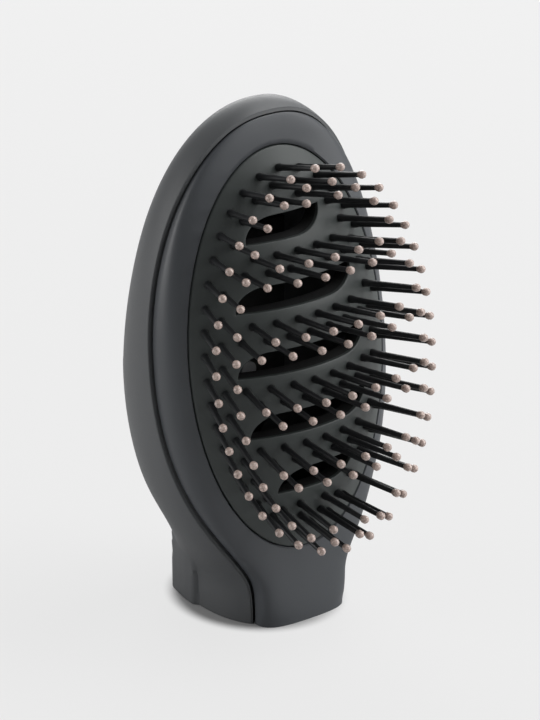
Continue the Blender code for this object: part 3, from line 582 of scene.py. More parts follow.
# --------------------------------------------------------------------------- casing
@dataclass
class RearCasing:
    """Hollow back shell: flared head, oval collar, raised side lugs and a lip at the seam.

    Where a size has a second one for the crown, it blends to it over `crown_climb`.
    """

    wall: float = 0.0022
    edge_round: float = 0.00032
    edge_round_crown: float = 0.00014
    rim_round: float = 0.00035
    rib: float = 0.0018
    rib_reach: float = 0.0030
    rib_climb: Climb = (0.0, 0.020)
    lip_least: float = 0.00025
    lip_back: float = 0.0004
    lip_back_crown: float = 0.00015
    lip_inner_crown: float = -0.0001
    lip_steps: tuple[float, ...] = (0.25, 0.6, 0.9, 1.0)
    groove: float = 0.00025
    groove_crown: float = 0.00042
    groove_neck: float = 0.00065
    groove_climb: Climb = (0.03, 0.035)
    groove_depth: float = 0.0009
    inner_step: float = 0.0004
    crown_climb: Climb = (0.108, 0.026)
    spine_drop: float = 0.038
    spine_from: float = 0.055
    longest_ray: float = 0.09
    # Heights at the rim and places behind the seam at which the grid is finer, in mm
    rim_steps: tuple[float, ...] = (0.0, 0.1, 0.22, 0.4, 0.7, 1.2)
    rim_top: float = 0.0018
    edge_steps: tuple[float, ...] = (0.0, 0.03, 0.08, 0.15, 0.24, 0.35, 0.5, 0.7, 1.0, 1.4, 2.0)
    lug_soft: float = 0.00022
    lug_sink: float = 0.02
    lug_top: Climb = (0.020, 0.010)
    lug_side: Climb = (0.006, 0.004)
    # The collar's half width at places along Y, with the lugs' upright faces
    lug_y: tuple[float, ...] = (-0.03, 0.0056, 0.0079, 0.0118, 0.0154, 0.0203, 0.0216, 0.03)
    lug_x: tuple[float, ...] = (0.008, 0.0168, 0.0199, 0.0196, 0.0189, 0.0177, 0.0150, 0.008)
    boss_heights: tuple[float, float] = (0.062, 0.092)
    boss_radius: float = 0.0034
    boss_front: float = 0.0129
    pilot_radius: float = 0.0015
    pilot_depth: float = 0.006
    boss_sides: int = 24
    rows: int = 150
    columns: int = 64
    nearest_steps: int = 3000

    def crown_share(self, z: Array) -> Array:
        """How much a height belongs to the crown: 0 at the sides, 1 at the top."""
        return climb(z, *self.crown_climb)

    def back(self, z: Array) -> Array:
        """How far the lip's outer edge lies behind the seam."""
        return blend(self.lip_back, self.lip_back_crown, self.crown_share(z))

    def edge_line(self) -> Array:
        """Edge of the casing at the seam, from the right foot over the crown to the left."""

        def width_at(z: Array) -> Array:
            return FORM.seam_width(z, 0.0, self.back(z))

        even = FORM.side_line(width_at, FORM.seam_top(self.lip_back_crown), self.rows)
        rim = np.array(self.rim_steps) * MM
        low = np.stack([width_at(rim), rim], -1)
        side = np.concatenate([low, even[even[:, 1] > self.rim_top]])
        return np.concatenate([side, side[-2::-1] * (-1.0, 1.0)])

    def outside(self, line: Array) -> Array:
        """Outer surface as rays that fan out, for every place of the seam's edge.

        The rays of a row start on the middle plane at the edge's own depth. The first runs
        out to the edge and the last runs straight back, so the row is level low down and
        climbs over the crown at the top. A ray's length is where it leaves the section,
        found by halving for the whole grid at once.

        Args:
            line: The edge, of shape (rows, 2), as x and z.

        Returns:
            Points of shape (rows, columns, 3).
        """
        x, z = line[:, :1], line[:, 1:]
        share = np.clip((z - self.spine_from) / (z.max() - self.spine_from), 0.0, 1.0)
        drop = self.spine_drop * share**2
        reach = np.hypot(x, drop)
        near = np.arctan(np.array(self.edge_steps) * MM / reach)
        rest = np.linspace(0.0, 1.0, self.columns)[None, 1:]
        angle = np.concatenate([near, blend(near[:, -1:], QUARTER, rest)], axis=1)
        along = stack(np.cos(angle) * x / reach, np.sin(angle), np.cos(angle) * drop / reach)
        origin = stack(np.zeros_like(z), FORM.seam_y(z) + self.back(z), z - drop)
        short, long = np.zeros(angle.shape), np.full(angle.shape, self.longest_ray)
        for _ in range(HALVINGS):
            middle = 0.5 * (short + long)
            outside = FORM.casing_level(origin + along * middle[..., None]) > 0
            short, long = np.where(outside, short, middle), np.where(outside, middle, long)
        points = origin + along * short[..., None]
        points[:, -1, 0] = 0.0
        return points

    def with_lugs(self, points: Array) -> Array:
        """Push the collar's sides out to the lugs' upright faces.

        The new |x| is the smooth larger of the collar's and of the lug's plan curve at the
        same y: (a + b + sqrt((a - b)^2 + k^2)) / 2, which leaves a soft crease.
        """
        x, y, z = points[..., 0], points[..., 1], points[..., 2]
        lug = np.interp(y, self.lug_y, self.lug_x) - self.lug_sink * climb(z, *self.lug_top)
        own = np.abs(x)
        larger = 0.5 * (own + lug + np.sqrt((own - lug) ** 2 + self.lug_soft**2))
        return stack(np.sign(x) * blend(own, larger, climb(own, *self.lug_side)), y, z)

    def lip(self, edge: Array) -> Array:
        """The lip's face and the groove beside the bezel, for every place of the edge.

        The nearest place of the bezel's outline is found for each. The face runs to a
        groove's width from it, and there the groove drops straight back.

        Args:
            edge: The rounded edge of the outside, of shape (rows, 3).

        Returns:
            Points of shape (rows, 5, 3).
        """
        side = FORM.side_line(FORM.frame_width_at, FORM.frame_top, self.nearest_steps)
        bezel = np.concatenate([side, side * (-1.0, 1.0)])
        flat = edge[:, (0, 2)]
        nearest = bezel[np.argmin(np.linalg.norm(flat[:, None] - bezel[None], axis=-1), axis=1)]
        nearest[:, 1] = np.where(flat[:, 1] <= 0.0, 0.0, nearest[:, 1])
        away = flat - nearest
        length = np.linalg.norm(away, axis=1, keepdims=True)
        height, crown = flat[:, 1:], self.crown_share(flat[:, 1:])
        groove = blend(self.groove, self.groove_crown, crown)
        groove = blend(self.groove_neck, groove, climb(height, *self.groove_climb))
        inner = nearest + away / length * np.minimum(groove, length - self.lip_least)
        back = blend(self.lip_back, self.lip_inner_crown, crown[:, 0])
        end = stack(inner[:, 0], FORM.seam_y(inner[:, 1]) + back, inner[:, 1])
        face = [blend(edge, end, share) for share in self.lip_steps]
        return np.stack([*face, end + (0.0, self.groove_depth, 0.0)], axis=1)

    def normals(self, bare: Array) -> Array:
        """Outward normals of the outer surface, from the cross product of its differences."""
        normal = unit(np.cross(np.gradient(bare, axis=0), np.gradient(bare, axis=1)))
        normal[:, -1, 0] = 0.0
        top = len(bare) // 2
        normal[top, -1] = normal[top - 1, -1]
        return unit(-normal if normal[0, -1, 1] < 0 else normal)

    def build(self) -> bpy.types.Object:
        """Outer and inner surface, joined by the lip along the seam and by the rim.

        Returns:
            The casing, which stands for the CAD casing.
        """
        bare = self.outside(self.edge_line())
        normal, run, height = self.normals(bare), run_along(bare), bare[..., 2]
        edge_round = blend(self.edge_round, self.edge_round_crown, self.crown_share(height[:, :1]))
        drop = round_off(edge_round, np.clip(1.0 - run / edge_round, 0.0, 1.0))
        drop = drop + round_off(self.rim_round, np.clip(1.0 - height / self.rim_round, 0.0, 1.0))
        rib = self.rib * (1.0 - climb(height, *self.rib_climb))
        rib = rib * np.clip(1.0 - run / self.rib_reach, 0.0, 1.0)
        outer = self.with_lugs(bare) - normal * drop[..., None]
        inner = bare - normal * (self.wall + rib)[..., None]
        inner[..., 1] = np.maximum(inner[..., 1], bare[:, :1, 1] + self.inner_step)
        inner[..., 2] = np.where(height <= 0.0, 0.0, inner[..., 2])
        outer[..., 2] = np.where(height <= 0.0, 0.0, np.maximum(outer[..., 2], 0.0))
        lip_points = self.lip(outer[:, 0])
        shell = Shell("casing_shell")
        outside = shell.add(np.concatenate([lip_points[:, ::-1], outer], axis=1))
        inside = shell.add(inner)
        shell.skin(outside)
        shell.skin(inside)
        shell.skin(np.stack([outside[:, 0], inside[:, 0]]))
        first = lip_points.shape[1]
        for row in (0, -1):
            shell.skin(np.stack([outside[row, first:], inside[row]]))
            fan = np.full(first + 1, inside[row, 0])
            shell.skin(np.stack([outside[row, : first + 1], fan]))
        self.add_bosses(shell)
        piece = shell.make(CASING_ABS)
        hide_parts("rear_casing")
        return piece

    def add_bosses(self, shell: Shell) -> None:
        """Two round bosses inside the back, as turned profiles along Y with a pilot hole."""
        angle = np.linspace(0.0, 4.0 * QUARTER, self.boss_sides, endpoint=False)
        pilot, front = self.pilot_radius, self.boss_front
        radii = np.array([0.0, pilot, pilot, self.boss_radius, self.boss_radius, 0.0])[:, None]
        for height in self.boss_heights:
            _, middle, _, reach = FORM.casing_section(height)
            back, floor = float(middle + reach) - 0.5 * self.wall, front + self.pilot_depth
            depth = np.array([floor, floor, front, front, back, back])[:, None]
            ring = stack(radii * np.cos(angle), depth, height + radii * np.sin(angle))
            shell.wrap(shell.add(ring))


# --------------------------------------------------------------------------- front frame
@dataclass
class FrontFrame:
    """Bezel around the plate that runs down into the tongue on the collar's front."""

    pocket_gap: float = 0.0003
    pocket_depth: float = 0.0021
    ledge_width: float = 0.0009
    ledge_depth: float = 0.0021
    edge_round: float = 0.00028
    side_wall: float = 0.0022
    tongue_wall: float = 0.0016
    skirt_gap: float = 0.0008
    skirt_wall: float = 0.0016
    skirt_depth: float = 0.0045
    skirt_climb: Climb = (0.0150, 0.0100)
    neck_top: float = 0.03
    roll: float = 0.00030
    roll_depth: float = 0.0021
    roll_end: float = 0.0095
    roll_soft: float = 0.05
    roll_climb: Climb = (0.020, 0.020)
    side_points: int = 150
    foot_points: int = 30
    columns: int = 48
    column_power: float = 6.0
    hollow_columns: int = 12
    hollow_power: float = 1.6

    def outline(self) -> tuple[Array, Array]:
        """Outer outline, anticlockwise from the tongue's right foot, and its inward normals.

        Returns:
            Places and unit normals, both of shape (points, 2), as x and z.
        """
        side = FORM.side_line(FORM.frame_width_at, FORM.frame_top, self.side_points)
        foot = np.cos(np.linspace(math.pi, 0.0, self.foot_points))[1:-1] * side[0, 0]
        bottom = np.stack([foot, np.zeros_like(foot)], -1)
        line = np.concatenate([side, side[-2::-1] * (-1.0, 1.0), bottom])
        run = np.roll(line, -1, axis=0) - np.roll(line, 1, axis=0)
        return line, unit(np.stack([-run[:, 1], run[:, 0]], -1))

    def oval(self, line: Array, grow: float) -> Array:
        """Where the lines from the plate's centre to an outline cross the plate's oval."""
        away = line - (0.0, FORM.plate_middle)
        size = (FORM.plate_half_width + grow, FORM.plate_half_height + grow)
        return (0.0, FORM.plate_middle) + away / np.linalg.norm(away / size, axis=1)[:, None]

    def build(self) -> bpy.types.Object:
        """One closed ring of sections around the plate.

        Each section is a loop in a plane through the plate's axis: the fillet at the pocket,
        the face out to the seam, the land and the skirt behind it, the hollow's surface back
        to the window, the ledge, and the pocket's wall.

        Returns:
            The frame, which stands for the CAD frame.
        """
        line, inward = self.outline()
        z = line[:, 1]
        foot, seam = z <= TINY, FORM.seam_y(z)
        skirt = climb(z, *self.skirt_climb)
        start, window = self.oval(line, self.pocket_gap), self.oval(line, -self.ledge_width)
        reach = np.linalg.norm(line - start, axis=1)
        loop: list[tuple[Array, Array]] = []
        for away, drop in quarter_round(self.edge_round)[::-1]:
            at = start + (line - start) * (away / reach)[:, None]
            loop.append((at, FORM.dome_y(*at.T) + drop))
        first = (self.edge_round / reach)[:, None]
        for share in 1.0 - (1.0 - np.linspace(0.0, 1.0, self.columns)) ** self.column_power:
            at = start + (line - start) * (first + (1.0 - first) * share)
            y = FORM.frame_y(*at.T)
            swell = self.rolled(FORM.seam_y(at[:, 1]) - y, z)
            loop.append((at - inward * swell[:, None], y))
        land = self.inset(line, inward, foot, self.side_wall + self.skirt_gap * skirt)
        end = self.inset(line, inward, foot, self.behind(skirt))
        closing = np.where(foot, self.hollow_y(*end.T), seam)
        deep = np.where(foot, closing, seam + self.skirt_depth * skirt)
        loop += [(land, closing), (land, deep), (end, deep)]
        for share in np.linspace(0.0, 1.0, self.hollow_columns) ** self.hollow_power:
            at = blend(end, window, share)
            loop.append((at, self.hollow_y(*at.T)))
        loop += [(at, FORM.dome_y(*at.T) + self.pocket_depth) for at in (window, start)]
        rings = [stack(at[:, 0], y, at[:, 1]) for at, y in [*loop, loop[0]]]
        shell = Shell("front_bezel")
        shell.wrap(shell.add(np.stack(rings)))
        piece = shell.make(BEZEL_ABS)
        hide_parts("front_frame")
        return piece

    def rolled(self, depth: Array, z: Array) -> Array:
        """How far the bezel's outer wall swells, which rounds its edge towards the groove.

        It climbs in proportion to the depth in front of the seam, then falls off slowly, and
        the two lines meet in a soft smaller value.
        """
        rise = depth / self.roll_depth
        fall = (self.roll_end - depth) / (self.roll_end - self.roll_depth)
        soft = 0.5 * (rise + fall - np.sqrt((rise - fall) ** 2 + self.roll_soft))
        return self.roll * np.maximum(soft, 0.0) * climb(z, *self.roll_climb)

    def inset(self, line: Array, inward: Array, foot: Array, amount: Array) -> Array:
        """The outline moved inward, where the tongue's foot only narrows and stays at z = 0."""
        x, z = line.T
        beside = np.stack([np.sign(x) * FORM.frame_width_at(z, amount), z], -1)
        low = (z < self.neck_top) & ~foot
        moved = np.where(low[:, None], beside, line + inward * amount[:, None])
        limit = float(FORM.frame_width_at(0.0)) - self.side_wall
        under = np.stack([np.clip(x, -limit, limit), np.zeros_like(x)], -1)
        return np.where(foot[:, None], under, moved)

    def behind(self, skirt: Array) -> Array:
        """How far in the hollow starts: the side wall, and the skirt with the gap beside it."""
        return self.side_wall + (self.skirt_gap + self.skirt_wall) * skirt

    def hollow_y(self, x: Array, z: Array) -> Array:
        """Back surface: the frame's section again, inset by the walls and set back."""
        skirt = climb(z, *self.skirt_climb)
        depth = blend(self.tongue_wall, self.pocket_depth + self.ledge_depth, skirt)
        return FORM.frame_y(x, z, self.behind(skirt), depth)


# --------------------------------------------------------------------------- vents
@dataclass(frozen=True)
class VentField:
    """Five curved slots, each with two sharp tips and two long round corners."""

    count: int = 5
    pitch: float = 0.0166
    middle_height: float = 0.0751
    height: float = 0.0062
    ring_margin: float = 0.0034
    corner_length: float = 0.0088
    wall: float = 0.0008
    wall_depth: float = 0.0052
    inner_ring: tuple[float, float, float] = (0.0240, 0.0305, 0.1187)

    @property
    def reach(self) -> float:
        """Height from the middle vent's middle to the outermost edges."""
        return 0.5 * (self.count - 1) * self.pitch + 0.5 * self.height

    def middle(self, number: float) -> float:
        """Height of a vent's middle, from the bottom one up."""
        return self.middle_height + (number - 0.5 * (self.count - 1)) * self.pitch

    def tip(self, number: int, side: int) -> float:
        """How far a vent reaches to one side, inside the inner ring of pins."""
        half_width, bottom, top = self.inner_ring
        place = self.middle(number) + side * 0.5 * self.height
        share = float(oval_share(place, 0.5 * (bottom + top), 0.5 * (top - bottom), 2.0))
        return half_width * share - self.ring_margin

    def edges(self, number: int, share: Array, grow: float = 0.0) -> tuple[Array, Array, Array]:
        """Left and right end of a vent across its height.

        Args:
            number: Which vent.
            share: Places from -1 at the bottom edge to 1 at the top edge.
            grow: How much larger than the opening.

        Returns:
            z, x of the left end and x of the right end. The right end is the quarter ellipse
            x = tip - L (1 - sin t), z = half (1 - 2 cos t), and the left end is the same,
            turned by half a turn.
        """
        ends = []
        for side in (-1, 1):
            turn = np.sqrt(np.clip(1.0 - (0.5 * (1.0 - side * share)) ** 2, 0.0, 1.0))
            ends.append(side * (self.tip(number, side) + grow - self.corner_length * (1.0 - turn)))
        return self.middle(number) + (0.5 * self.height + grow) * share, ends[0], ends[1]

    def holds(self, x: Array, z: Array, grow: float) -> Array:
        """Whether places lie in a vent that is grown on all sides."""
        inside = np.zeros(np.broadcast(x, z).shape, bool)
        for number in range(self.count):
            share = (z - self.middle(number)) / (0.5 * self.height + grow)
            _, left, right = self.edges(number, np.clip(share, -1.0, 1.0), grow)
            inside |= (np.abs(share) < 1.0) & (x > left) & (x < right)
        return inside


VENTS = VentField()


# --------------------------------------------------------------------------- plate
@dataclass
class BristlePlate:
    """Domed oval plate with five walled vents."""

    thickness: float = 0.0018
    edge_round: float = 0.00035
    vent_round: float = 0.00028
    back_round: float = 0.0002
    # Share of the plate's thickness behind its face past which the vents' walls carry painted shade
    painted_shade_share: float = 0.6
    core_share: float = 0.33
    side_columns: int = 12
    vent_columns: int = 22
    vent_rows: int = 16
    gap_rows: int = 7
    end_rows: int = 16

    @property
    def vent_places(self) -> Array:
        """Places across a vent from -1 to 1, closer together at its edges."""
        return -np.cos(np.linspace(0.0, math.pi, self.vent_rows + 1))

    def between(self, z: Array, start: list[Array], stop: list[Array]) -> Array:
        """Rows of the grid between two, each given as a height and its left and right end."""
        share = climb(z, start[0], stop[0] - start[0])
        ends = [blend(start[side], stop[side], share) for side in (1, 2)]
        return np.stack([z, *ends, np.full_like(z, -1.0)], -1)

    def table(self, grow: float, vent_grow: float) -> tuple[Array, Array, Array]:
        """Places of the plate's grid, and which rows lie in which vent.

        The rows run through the bottom end, then a vent, then a band, and so on. At every row
        four x values are known: the oval's two edges and the two ends of the vent, which blend
        from one vent to the next in the bands. The columns share them out evenly.

        Args:
            grow: How much larger than the plate's oval.
            vent_grow: How much larger than the vents' openings.

        Returns:
            x and z of shape (rows, columns), and for each row the vent's number or -1.
        """
        middle, half_height = FORM.plate_middle, FORM.plate_half_height + grow
        low, high = middle - half_height, middle + half_height
        turn = np.linspace(0.0, QUARTER, self.end_rows + 1)
        vents = [VENTS.edges(n, self.vent_places, vent_grow) for n in range(VENTS.count)]
        stop = [part[0] for part in vents[0]]
        z = blend(low, stop[0], 1.0 - np.cos(turn))[:-1]
        core = self.core_share * FORM.plate_half_width * oval_share(z, middle, half_height, 2.0)
        lines = [self.between(z, [low, -core, core], stop)]
        for number, vent in enumerate(vents):
            lines.append(np.stack([*vent, np.full_like(vent[0], number)], -1))
            start = [part[-1] for part in vent]
            if number < VENTS.count - 1:
                stop = [part[0] for part in vents[number + 1]]
                z = blend(start[0], stop[0], np.linspace(0.0, 1.0, self.gap_rows + 1)[1:-1])
            else:
                z = blend(start[0], high, np.sin(turn))[1:]
                core = oval_share(z, middle, half_height, 2.0)
                core = self.core_share * FORM.plate_half_width * core
                stop = [high, -core, core]
            lines.append(self.between(z, start, stop))
        z, left, right, mark = np.concatenate(lines).T
        edge = (FORM.plate_half_width + grow) * oval_share(z, middle, half_height, 2.0)
        side = np.linspace(0.0, 1.0, self.side_columns + 1)
        across = np.linspace(0.0, 1.0, self.vent_columns + 1)[1:-1]
        spans = ((-edge, left, side), (left, right, across), (right, edge, side))
        x = [blend(first[:, None], last[:, None], share) for first, last, share in spans]
        return np.concatenate(x, axis=1), z[:, None], mark

    def open_cells(self, mark: Array) -> Array:
        """Which cells of the grid carry a face: all but those inside a vent."""
        keep = np.ones((len(mark) - 1, 2 * self.side_columns + self.vent_columns), bool)
        inside = (mark[:-1] == mark[1:]) & (mark[:-1] >= 0)
        keep[inside, self.side_columns : -self.side_columns] = False
        return keep

    def vent_loop(self, numbers: Array, rows: Array) -> Array:
        """Numbers around one vent's hole in the grid, in order."""
        left, right = self.side_columns, self.side_columns + self.vent_columns
        low, high = rows[0], rows[-1]
        sides = (np.s_[low, left:right], np.s_[low:high, right])
        sides += (np.s_[high, right:left:-1], np.s_[high:low:-1, left])
        return np.concatenate([numbers[side] for side in sides])

    def vent_ring(self, number: int, grow: float, depth: float) -> Array:
        """Points around a vent at a growth and at a depth behind the plate's face."""
        z, left, right = VENTS.edges(number, self.vent_places, grow)
        across = np.linspace(0.0, 1.0, self.vent_columns + 1)[:-1]
        low, high = blend(left[0], right[0], across), blend(right[-1], left[-1], across)
        x = np.concatenate([low, right[:-1], high, left[:0:-1]])
        level = np.ones(self.vent_columns)
        z = np.concatenate([z[0] * level, z[:-1], z[-1] * level, z[:0:-1]])
        return stack(x, FORM.dome_y(x, z) + depth, z)

    def rim_ring(self, rows: Array, grow: float, depth: float) -> Array:
        """Points around the plate's oval at the angles of the grid's rows."""
        half = FORM.plate_half_height - self.edge_round
        sine = np.clip((rows - FORM.plate_middle) / half, -1.0, 1.0)
        width = (FORM.plate_half_width + grow) * np.sqrt(1.0 - sine**2)
        z = FORM.plate_middle + (FORM.plate_half_height + grow) * sine
        x = np.concatenate([width, -width[-2:0:-1]])
        z = np.concatenate([z, z[-2:0:-1]])
        return stack(x, FORM.dome_y(x, z) + depth, z)

    def paint_vent_shade(self, piece: bpy.types.Object) -> None:
        """Paint shade on the vents' walls past their mouths, in the black of the mouldings inside.
        """
        mesh = piece.data
        mesh.materials.append(BLACK_ABS_AND_PAINTED_SHADE.material())
        middle = np.empty(3 * len(mesh.polygons))
        mesh.polygons.foreach_get("center", middle)
        x, y, z = middle.reshape(-1, 3).T
        # Faces deep in the vents' walls, which get the painted shade
        inside = y - FORM.dome_y(x, z) > self.painted_shade_share * self.thickness
        inside &= VENTS.holds(x, z, 2.0 * VENTS.wall)
        mesh.polygons.foreach_set("material_index", inside.astype(np.int32))

    def build(self) -> bpy.types.Object:
        """Front and back sheet, rolled edge, and the vents' walls with rounded mouths.

        Returns:
            The plate, which stands for the CAD plate.
        """
        shell = Shell("domed_bristle_plate")
        wall, foot, soft = VENTS.wall, VENTS.wall_depth, self.back_round
        tables = [self.table(-self.edge_round, grow) for grow in (self.vent_round, wall)]
        _, heights, mark = tables[0]
        sheets = []
        for (x, z, _), depth in zip(tables, (0.0, self.thickness)):
            sheets.append(shell.add(stack(x, FORM.dome_y(x, z) + depth, z)))
            shell.skin(sheets[-1], self.open_cells(mark))
        steps = quarter_round(self.vent_round)
        # A ring where the painted shade on the vents' walls begins, then the wall's foot and its
        # rounded end
        steps += [(0.0, self.painted_shade_share * self.thickness), (0.0, foot - soft), (soft, foot)]
        steps += [(wall - soft, foot), (wall, foot - soft)]
        for number in range(VENTS.count):
            rows = np.flatnonzero(mark == number)
            mouth = shell.add(np.stack([self.vent_ring(number, *step) for step in steps]))
            front, rear = (self.vent_loop(sheet, rows) for sheet in sheets)
            shell.wrap(np.stack([front, *mouth, rear]))
        steps = [(-grow, depth) for grow, depth in quarter_round(self.edge_round)]
        steps.append((0.0, self.thickness - soft))
        rolled = shell.add(np.stack([self.rim_ring(heights[:, 0], *step) for step in steps]))
        front, rear = (np.concatenate([sheet[:, -1], sheet[-2:0:-1, 0]]) for sheet in sheets)
        shell.wrap(np.stack([front, *rolled, rear]))
        piece = shell.make(PLATE_NYLON, 44.0)
        # Painted shade on the vents' deep walls
        self.paint_vent_shade(piece)
        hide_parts("bristle_plate")
        return piece


# --------------------------------------------------------------------------- pins
@dataclass
class PinField:
    """All pins: where they stand, how they lean, and the strips that carry them."""

    length: float = 0.0158
    ball_radius: float = 0.00110
    ball_start: float = 0.21
    ball_rings: int = 8
    tip_stretch: float = 1.4
    side_lean: float = 0.55
    end_lean: float = 0.3045
    fan_height: float = 0.0595
    # Insets from the plate's edge at the side, the top and the bottom, pins, and first share
    outer_ring: tuple[float, float, float, int, float] = (0.0033, 0.0050, 0.0072, 38, 0.0)
    inner_ring: tuple[float, float, float, int, float] = (0.0070, 0.0083, 0.0097, 34, 0.5)
    rows: tuple[tuple[int, int], ...] = ((5, 6), (6, 7), (7, 6), (6, 5))
    row_pitch: float = 0.0063
    row_half_spacing: float = 0.00195
    end_half_spacing: float = 0.0040
    strip_near: float = 0.0022
    strip_thickness: float = 0.0018
    strip_outer_inset: float = 0.0017
    strip_inner_inset: float = 0.0086
    strip_inner_power: float = 2.2
    strip_field_gap: float = 0.0009
    strip_vent_gap: float = 0.0004
    strip_half_height: float = 0.0034
    strip_end_margin: float = 0.0016
    strip_grid: tuple[int, int] = (6, 25)
    band_grid: tuple[int, int] = (4, 13)
    strip_tries: int = 200
    oval_steps: int = 20
    joint_trim: float = 0.0097
    joints: tuple[float, ...] = (-22.5, 31.5, 63.0, 117.0, 148.5, 202.5, 254.25, 284.625, 337.5)
    edge_names: str = "right upper_right top upper_left left lower_left bottom lower_right"
    # Heights above the plate and radii of a moulded pin: bulbous boot, then a slim taper
    shaft: tuple[tuple[float, float], ...] = (
        (-0.0026, 0.00060), (-0.0001, 0.00102), (0.0006, 0.00110),
        (0.0013, 0.00098), (0.0021, 0.00084), (0.0150, 0.00069),
    )
    sides: int = 10

    def oval_places(
        self, side: float, top: float, bottom: float, count: int, start: float
    ) -> Array:
        """Places spaced evenly by length along an oval, clockwise from the top.

        Args:
            side: Inset from the plate's edge at the side.
            top: Inset at the top.
            bottom: Inset at the bottom.
            count: How many.
            start: Share of a step at which the first one stands.

        Returns:
            Places of shape (count, 2), as x and z.
        """
        top, bottom = FORM.plate_top - top, FORM.plate_bottom + bottom
        turn = np.linspace(0.0, 4.0 * QUARTER, count * self.oval_steps + 1)
        height = 0.5 * (top + bottom) + 0.5 * (top - bottom) * np.cos(turn)
        line = np.stack([(FORM.plate_half_width - side) * np.sin(turn), height], -1)
        run = run_along(line)
        wanted = run[-1] * (np.arange(count) + start) / count
        return line[np.searchsorted(run, wanted, side="left")]

    def edge_places(self) -> Array:
        """Places of the two rings and of the pairs above and below the vents."""
        rings = [self.oval_places(*ring) for ring in (self.outer_ring, self.inner_ring)]
        edges = (VENTS.middle_height - VENTS.reach, VENTS.middle_height + VENTS.reach)
        pairs = [
            (side * self.end_half_spacing, 0.5 * (edge + ring_end))
            for side in (-1, 1)
            for edge, ring_end in zip(edges, VENTS.inner_ring[1:])
        ]
        return np.concatenate([*rings, np.array(pairs)])

    def band_places(self, number: int) -> Array:
        """Places of the two staggered rows between a pair of vents, from the top band down."""
        middle = VENTS.middle(VENTS.count - 1.5 - number)
        rows = []
        for side, count in zip((1, -1), self.rows[number]):
            x = (np.arange(count) - 0.5 * (count - 1)) * self.row_pitch
            rows.append(np.stack([x, np.full(count, middle + side * self.row_half_spacing)], -1))
        return np.concatenate(rows)

    def directions(self, places: Array) -> Array:
        """Unit vectors of the pins, which fan out a little from the plate's middle."""
        side = self.side_lean * places[:, 0] / FORM.plate_half_width
        rise = self.end_lean * (places[:, 1] - self.fan_height) / FORM.dome_top_reach
        return unit(stack(side, -1.0, rise))

    def put(self, shell: Shell, places: Array, profile: Array) -> None:
        """Add turned forms on the pins' axes to a shell, with closed ends.

        A point is root + height d + radius (cos t u + sin t v).

        Args:
            shell: The shell that takes them.
            places: Roots on the plate, of shape (pins, 2).
            profile: Heights and radii, of shape (rings, 2).
        """
        profile = np.concatenate([profile[:1] * (1.0, 0.0), profile, profile[-1:] * (1.0, 0.0)])
        height, radius = profile.T[..., None]
        along = self.directions(places)
        x, z = places.T
        first = unit(np.cross(along, (0.0, 0.0, 1.0)))
        second = np.cross(along, first)
        turn = np.linspace(0.0, 4.0 * QUARTER, self.sides, endpoint=False)[:, None]
        across = np.cos(turn) * first[:, None] + np.sin(turn) * second[:, None]
        centre = stack(x, FORM.dome_y(x, z), z)[:, None] + height * along[:, None]
        for points in centre[:, :, None] + radius[..., None] * across[:, None]:
            shell.wrap(shell.add(points))

    def strip_column(self, angle: Array) -> tuple[Array, Array]:
        """Outer and inner end of the line across the edge strips at an angle."""
        turn = np.stack([np.cos(angle), np.sin(angle)], -1)
        size = np.array([FORM.plate_half_width, FORM.plate_half_height]) - self.strip_outer_inset
        outer = (0.0, FORM.plate_middle) + size * turn
        reach = VENTS.reach + VENTS.wall + self.strip_field_gap
        size = (FORM.plate_half_width - self.strip_inner_inset, reach)
        power = 2.0 / self.strip_inner_power
        return outer, (0.0, VENTS.middle_height) + size * np.sign(turn) * np.abs(turn) ** power

    def side_of(self, angle: float, places: Array) -> Array:
        """Above 0 where places lie anticlockwise of the line across the strips."""
        outer, inner = self.strip_column(np.array(angle))
        size = outer - inner
        return size[0] * (places[:, 1] - inner[1]) - size[1] * (places[:, 0] - inner[0])

    def slab(self, shell: Shell, grid: Array) -> None:
        """Closed slab behind the plate over a grid of places of shape (rows, columns, 2)."""
        x, z = grid[..., 0], grid[..., 1]
        near = stack(x, FORM.dome_y(x, z) + self.strip_near, z)
        front, back = shell.add(near), shell.add(near + (0.0, self.strip_thickness, 0.0))
        shell.skin(front)
        shell.skin(back)
        for edge in (np.s_[:, 0], np.s_[:, -1], np.s_[0, :], np.s_[-1, :]):
            shell.skin(np.stack([front[edge], back[edge]]))

    def edge_strip(self, number: int, shell: Shell) -> Array:
        """Backing of an edge strip, kept clear of the vents, and the places of its pins."""
        first, last = (math.radians(joint) for joint in self.joints[number : number + 2])
        rows, columns = self.strip_grid
        angle = np.linspace(first + self.joint_trim, last - self.joint_trim, columns)
        outer, inner = self.strip_column(angle)
        line = blend(outer, inner, np.linspace(0.0, 1.0, self.strip_tries + 1)[:, None, None])
        blocked = VENTS.holds(line[..., 0], line[..., 1], VENTS.wall + self.strip_vent_gap)
        free = np.where(blocked.any(axis=0), blocked.argmax(axis=0) - 1, self.strip_tries)
        free = (free / self.strip_tries)[None, :, None]
        self.slab(shell, blend(outer, inner, np.linspace(0.0, 1.0, rows)[:, None, None] * free))
        places = self.edge_places()
        along = self.directions(places)
        back = (self.strip_near + 0.5 * self.strip_thickness) / along[:, 1:2]
        roots = places + along[:, (0, 2)] * back
        middle = 0.5 * (first + last)
        outward = (roots - (0.0, FORM.plate_middle)) @ (math.cos(middle), math.sin(middle))
        own = (outward > 0) & (self.side_of(first, roots) > 0) & (self.side_of(last, roots) < 0)
        return places[own]

    def band_strip(self, number: int, shell: Shell) -> Array:
        """Backing of a strip between two vents, and the places of its pins."""
        places = self.band_places(number)
        low, high = places[:, 1].min(), places[:, 1].max()
        (rows, columns), edges = self.band_grid, []
        for height, side in ((low, -1), (high, 1)):
            reach = np.abs(places[places[:, 1] == height, 0]).max() + self.strip_end_margin
            x = np.linspace(-reach, reach, columns)
            z = np.full_like(x, 0.5 * (low + high) + side * self.strip_half_height)
            edges.append(np.stack([x, z], -1))
        self.slab(shell, blend(*edges, np.linspace(0.0, 1.0, rows)[:, None, None]))
        return places

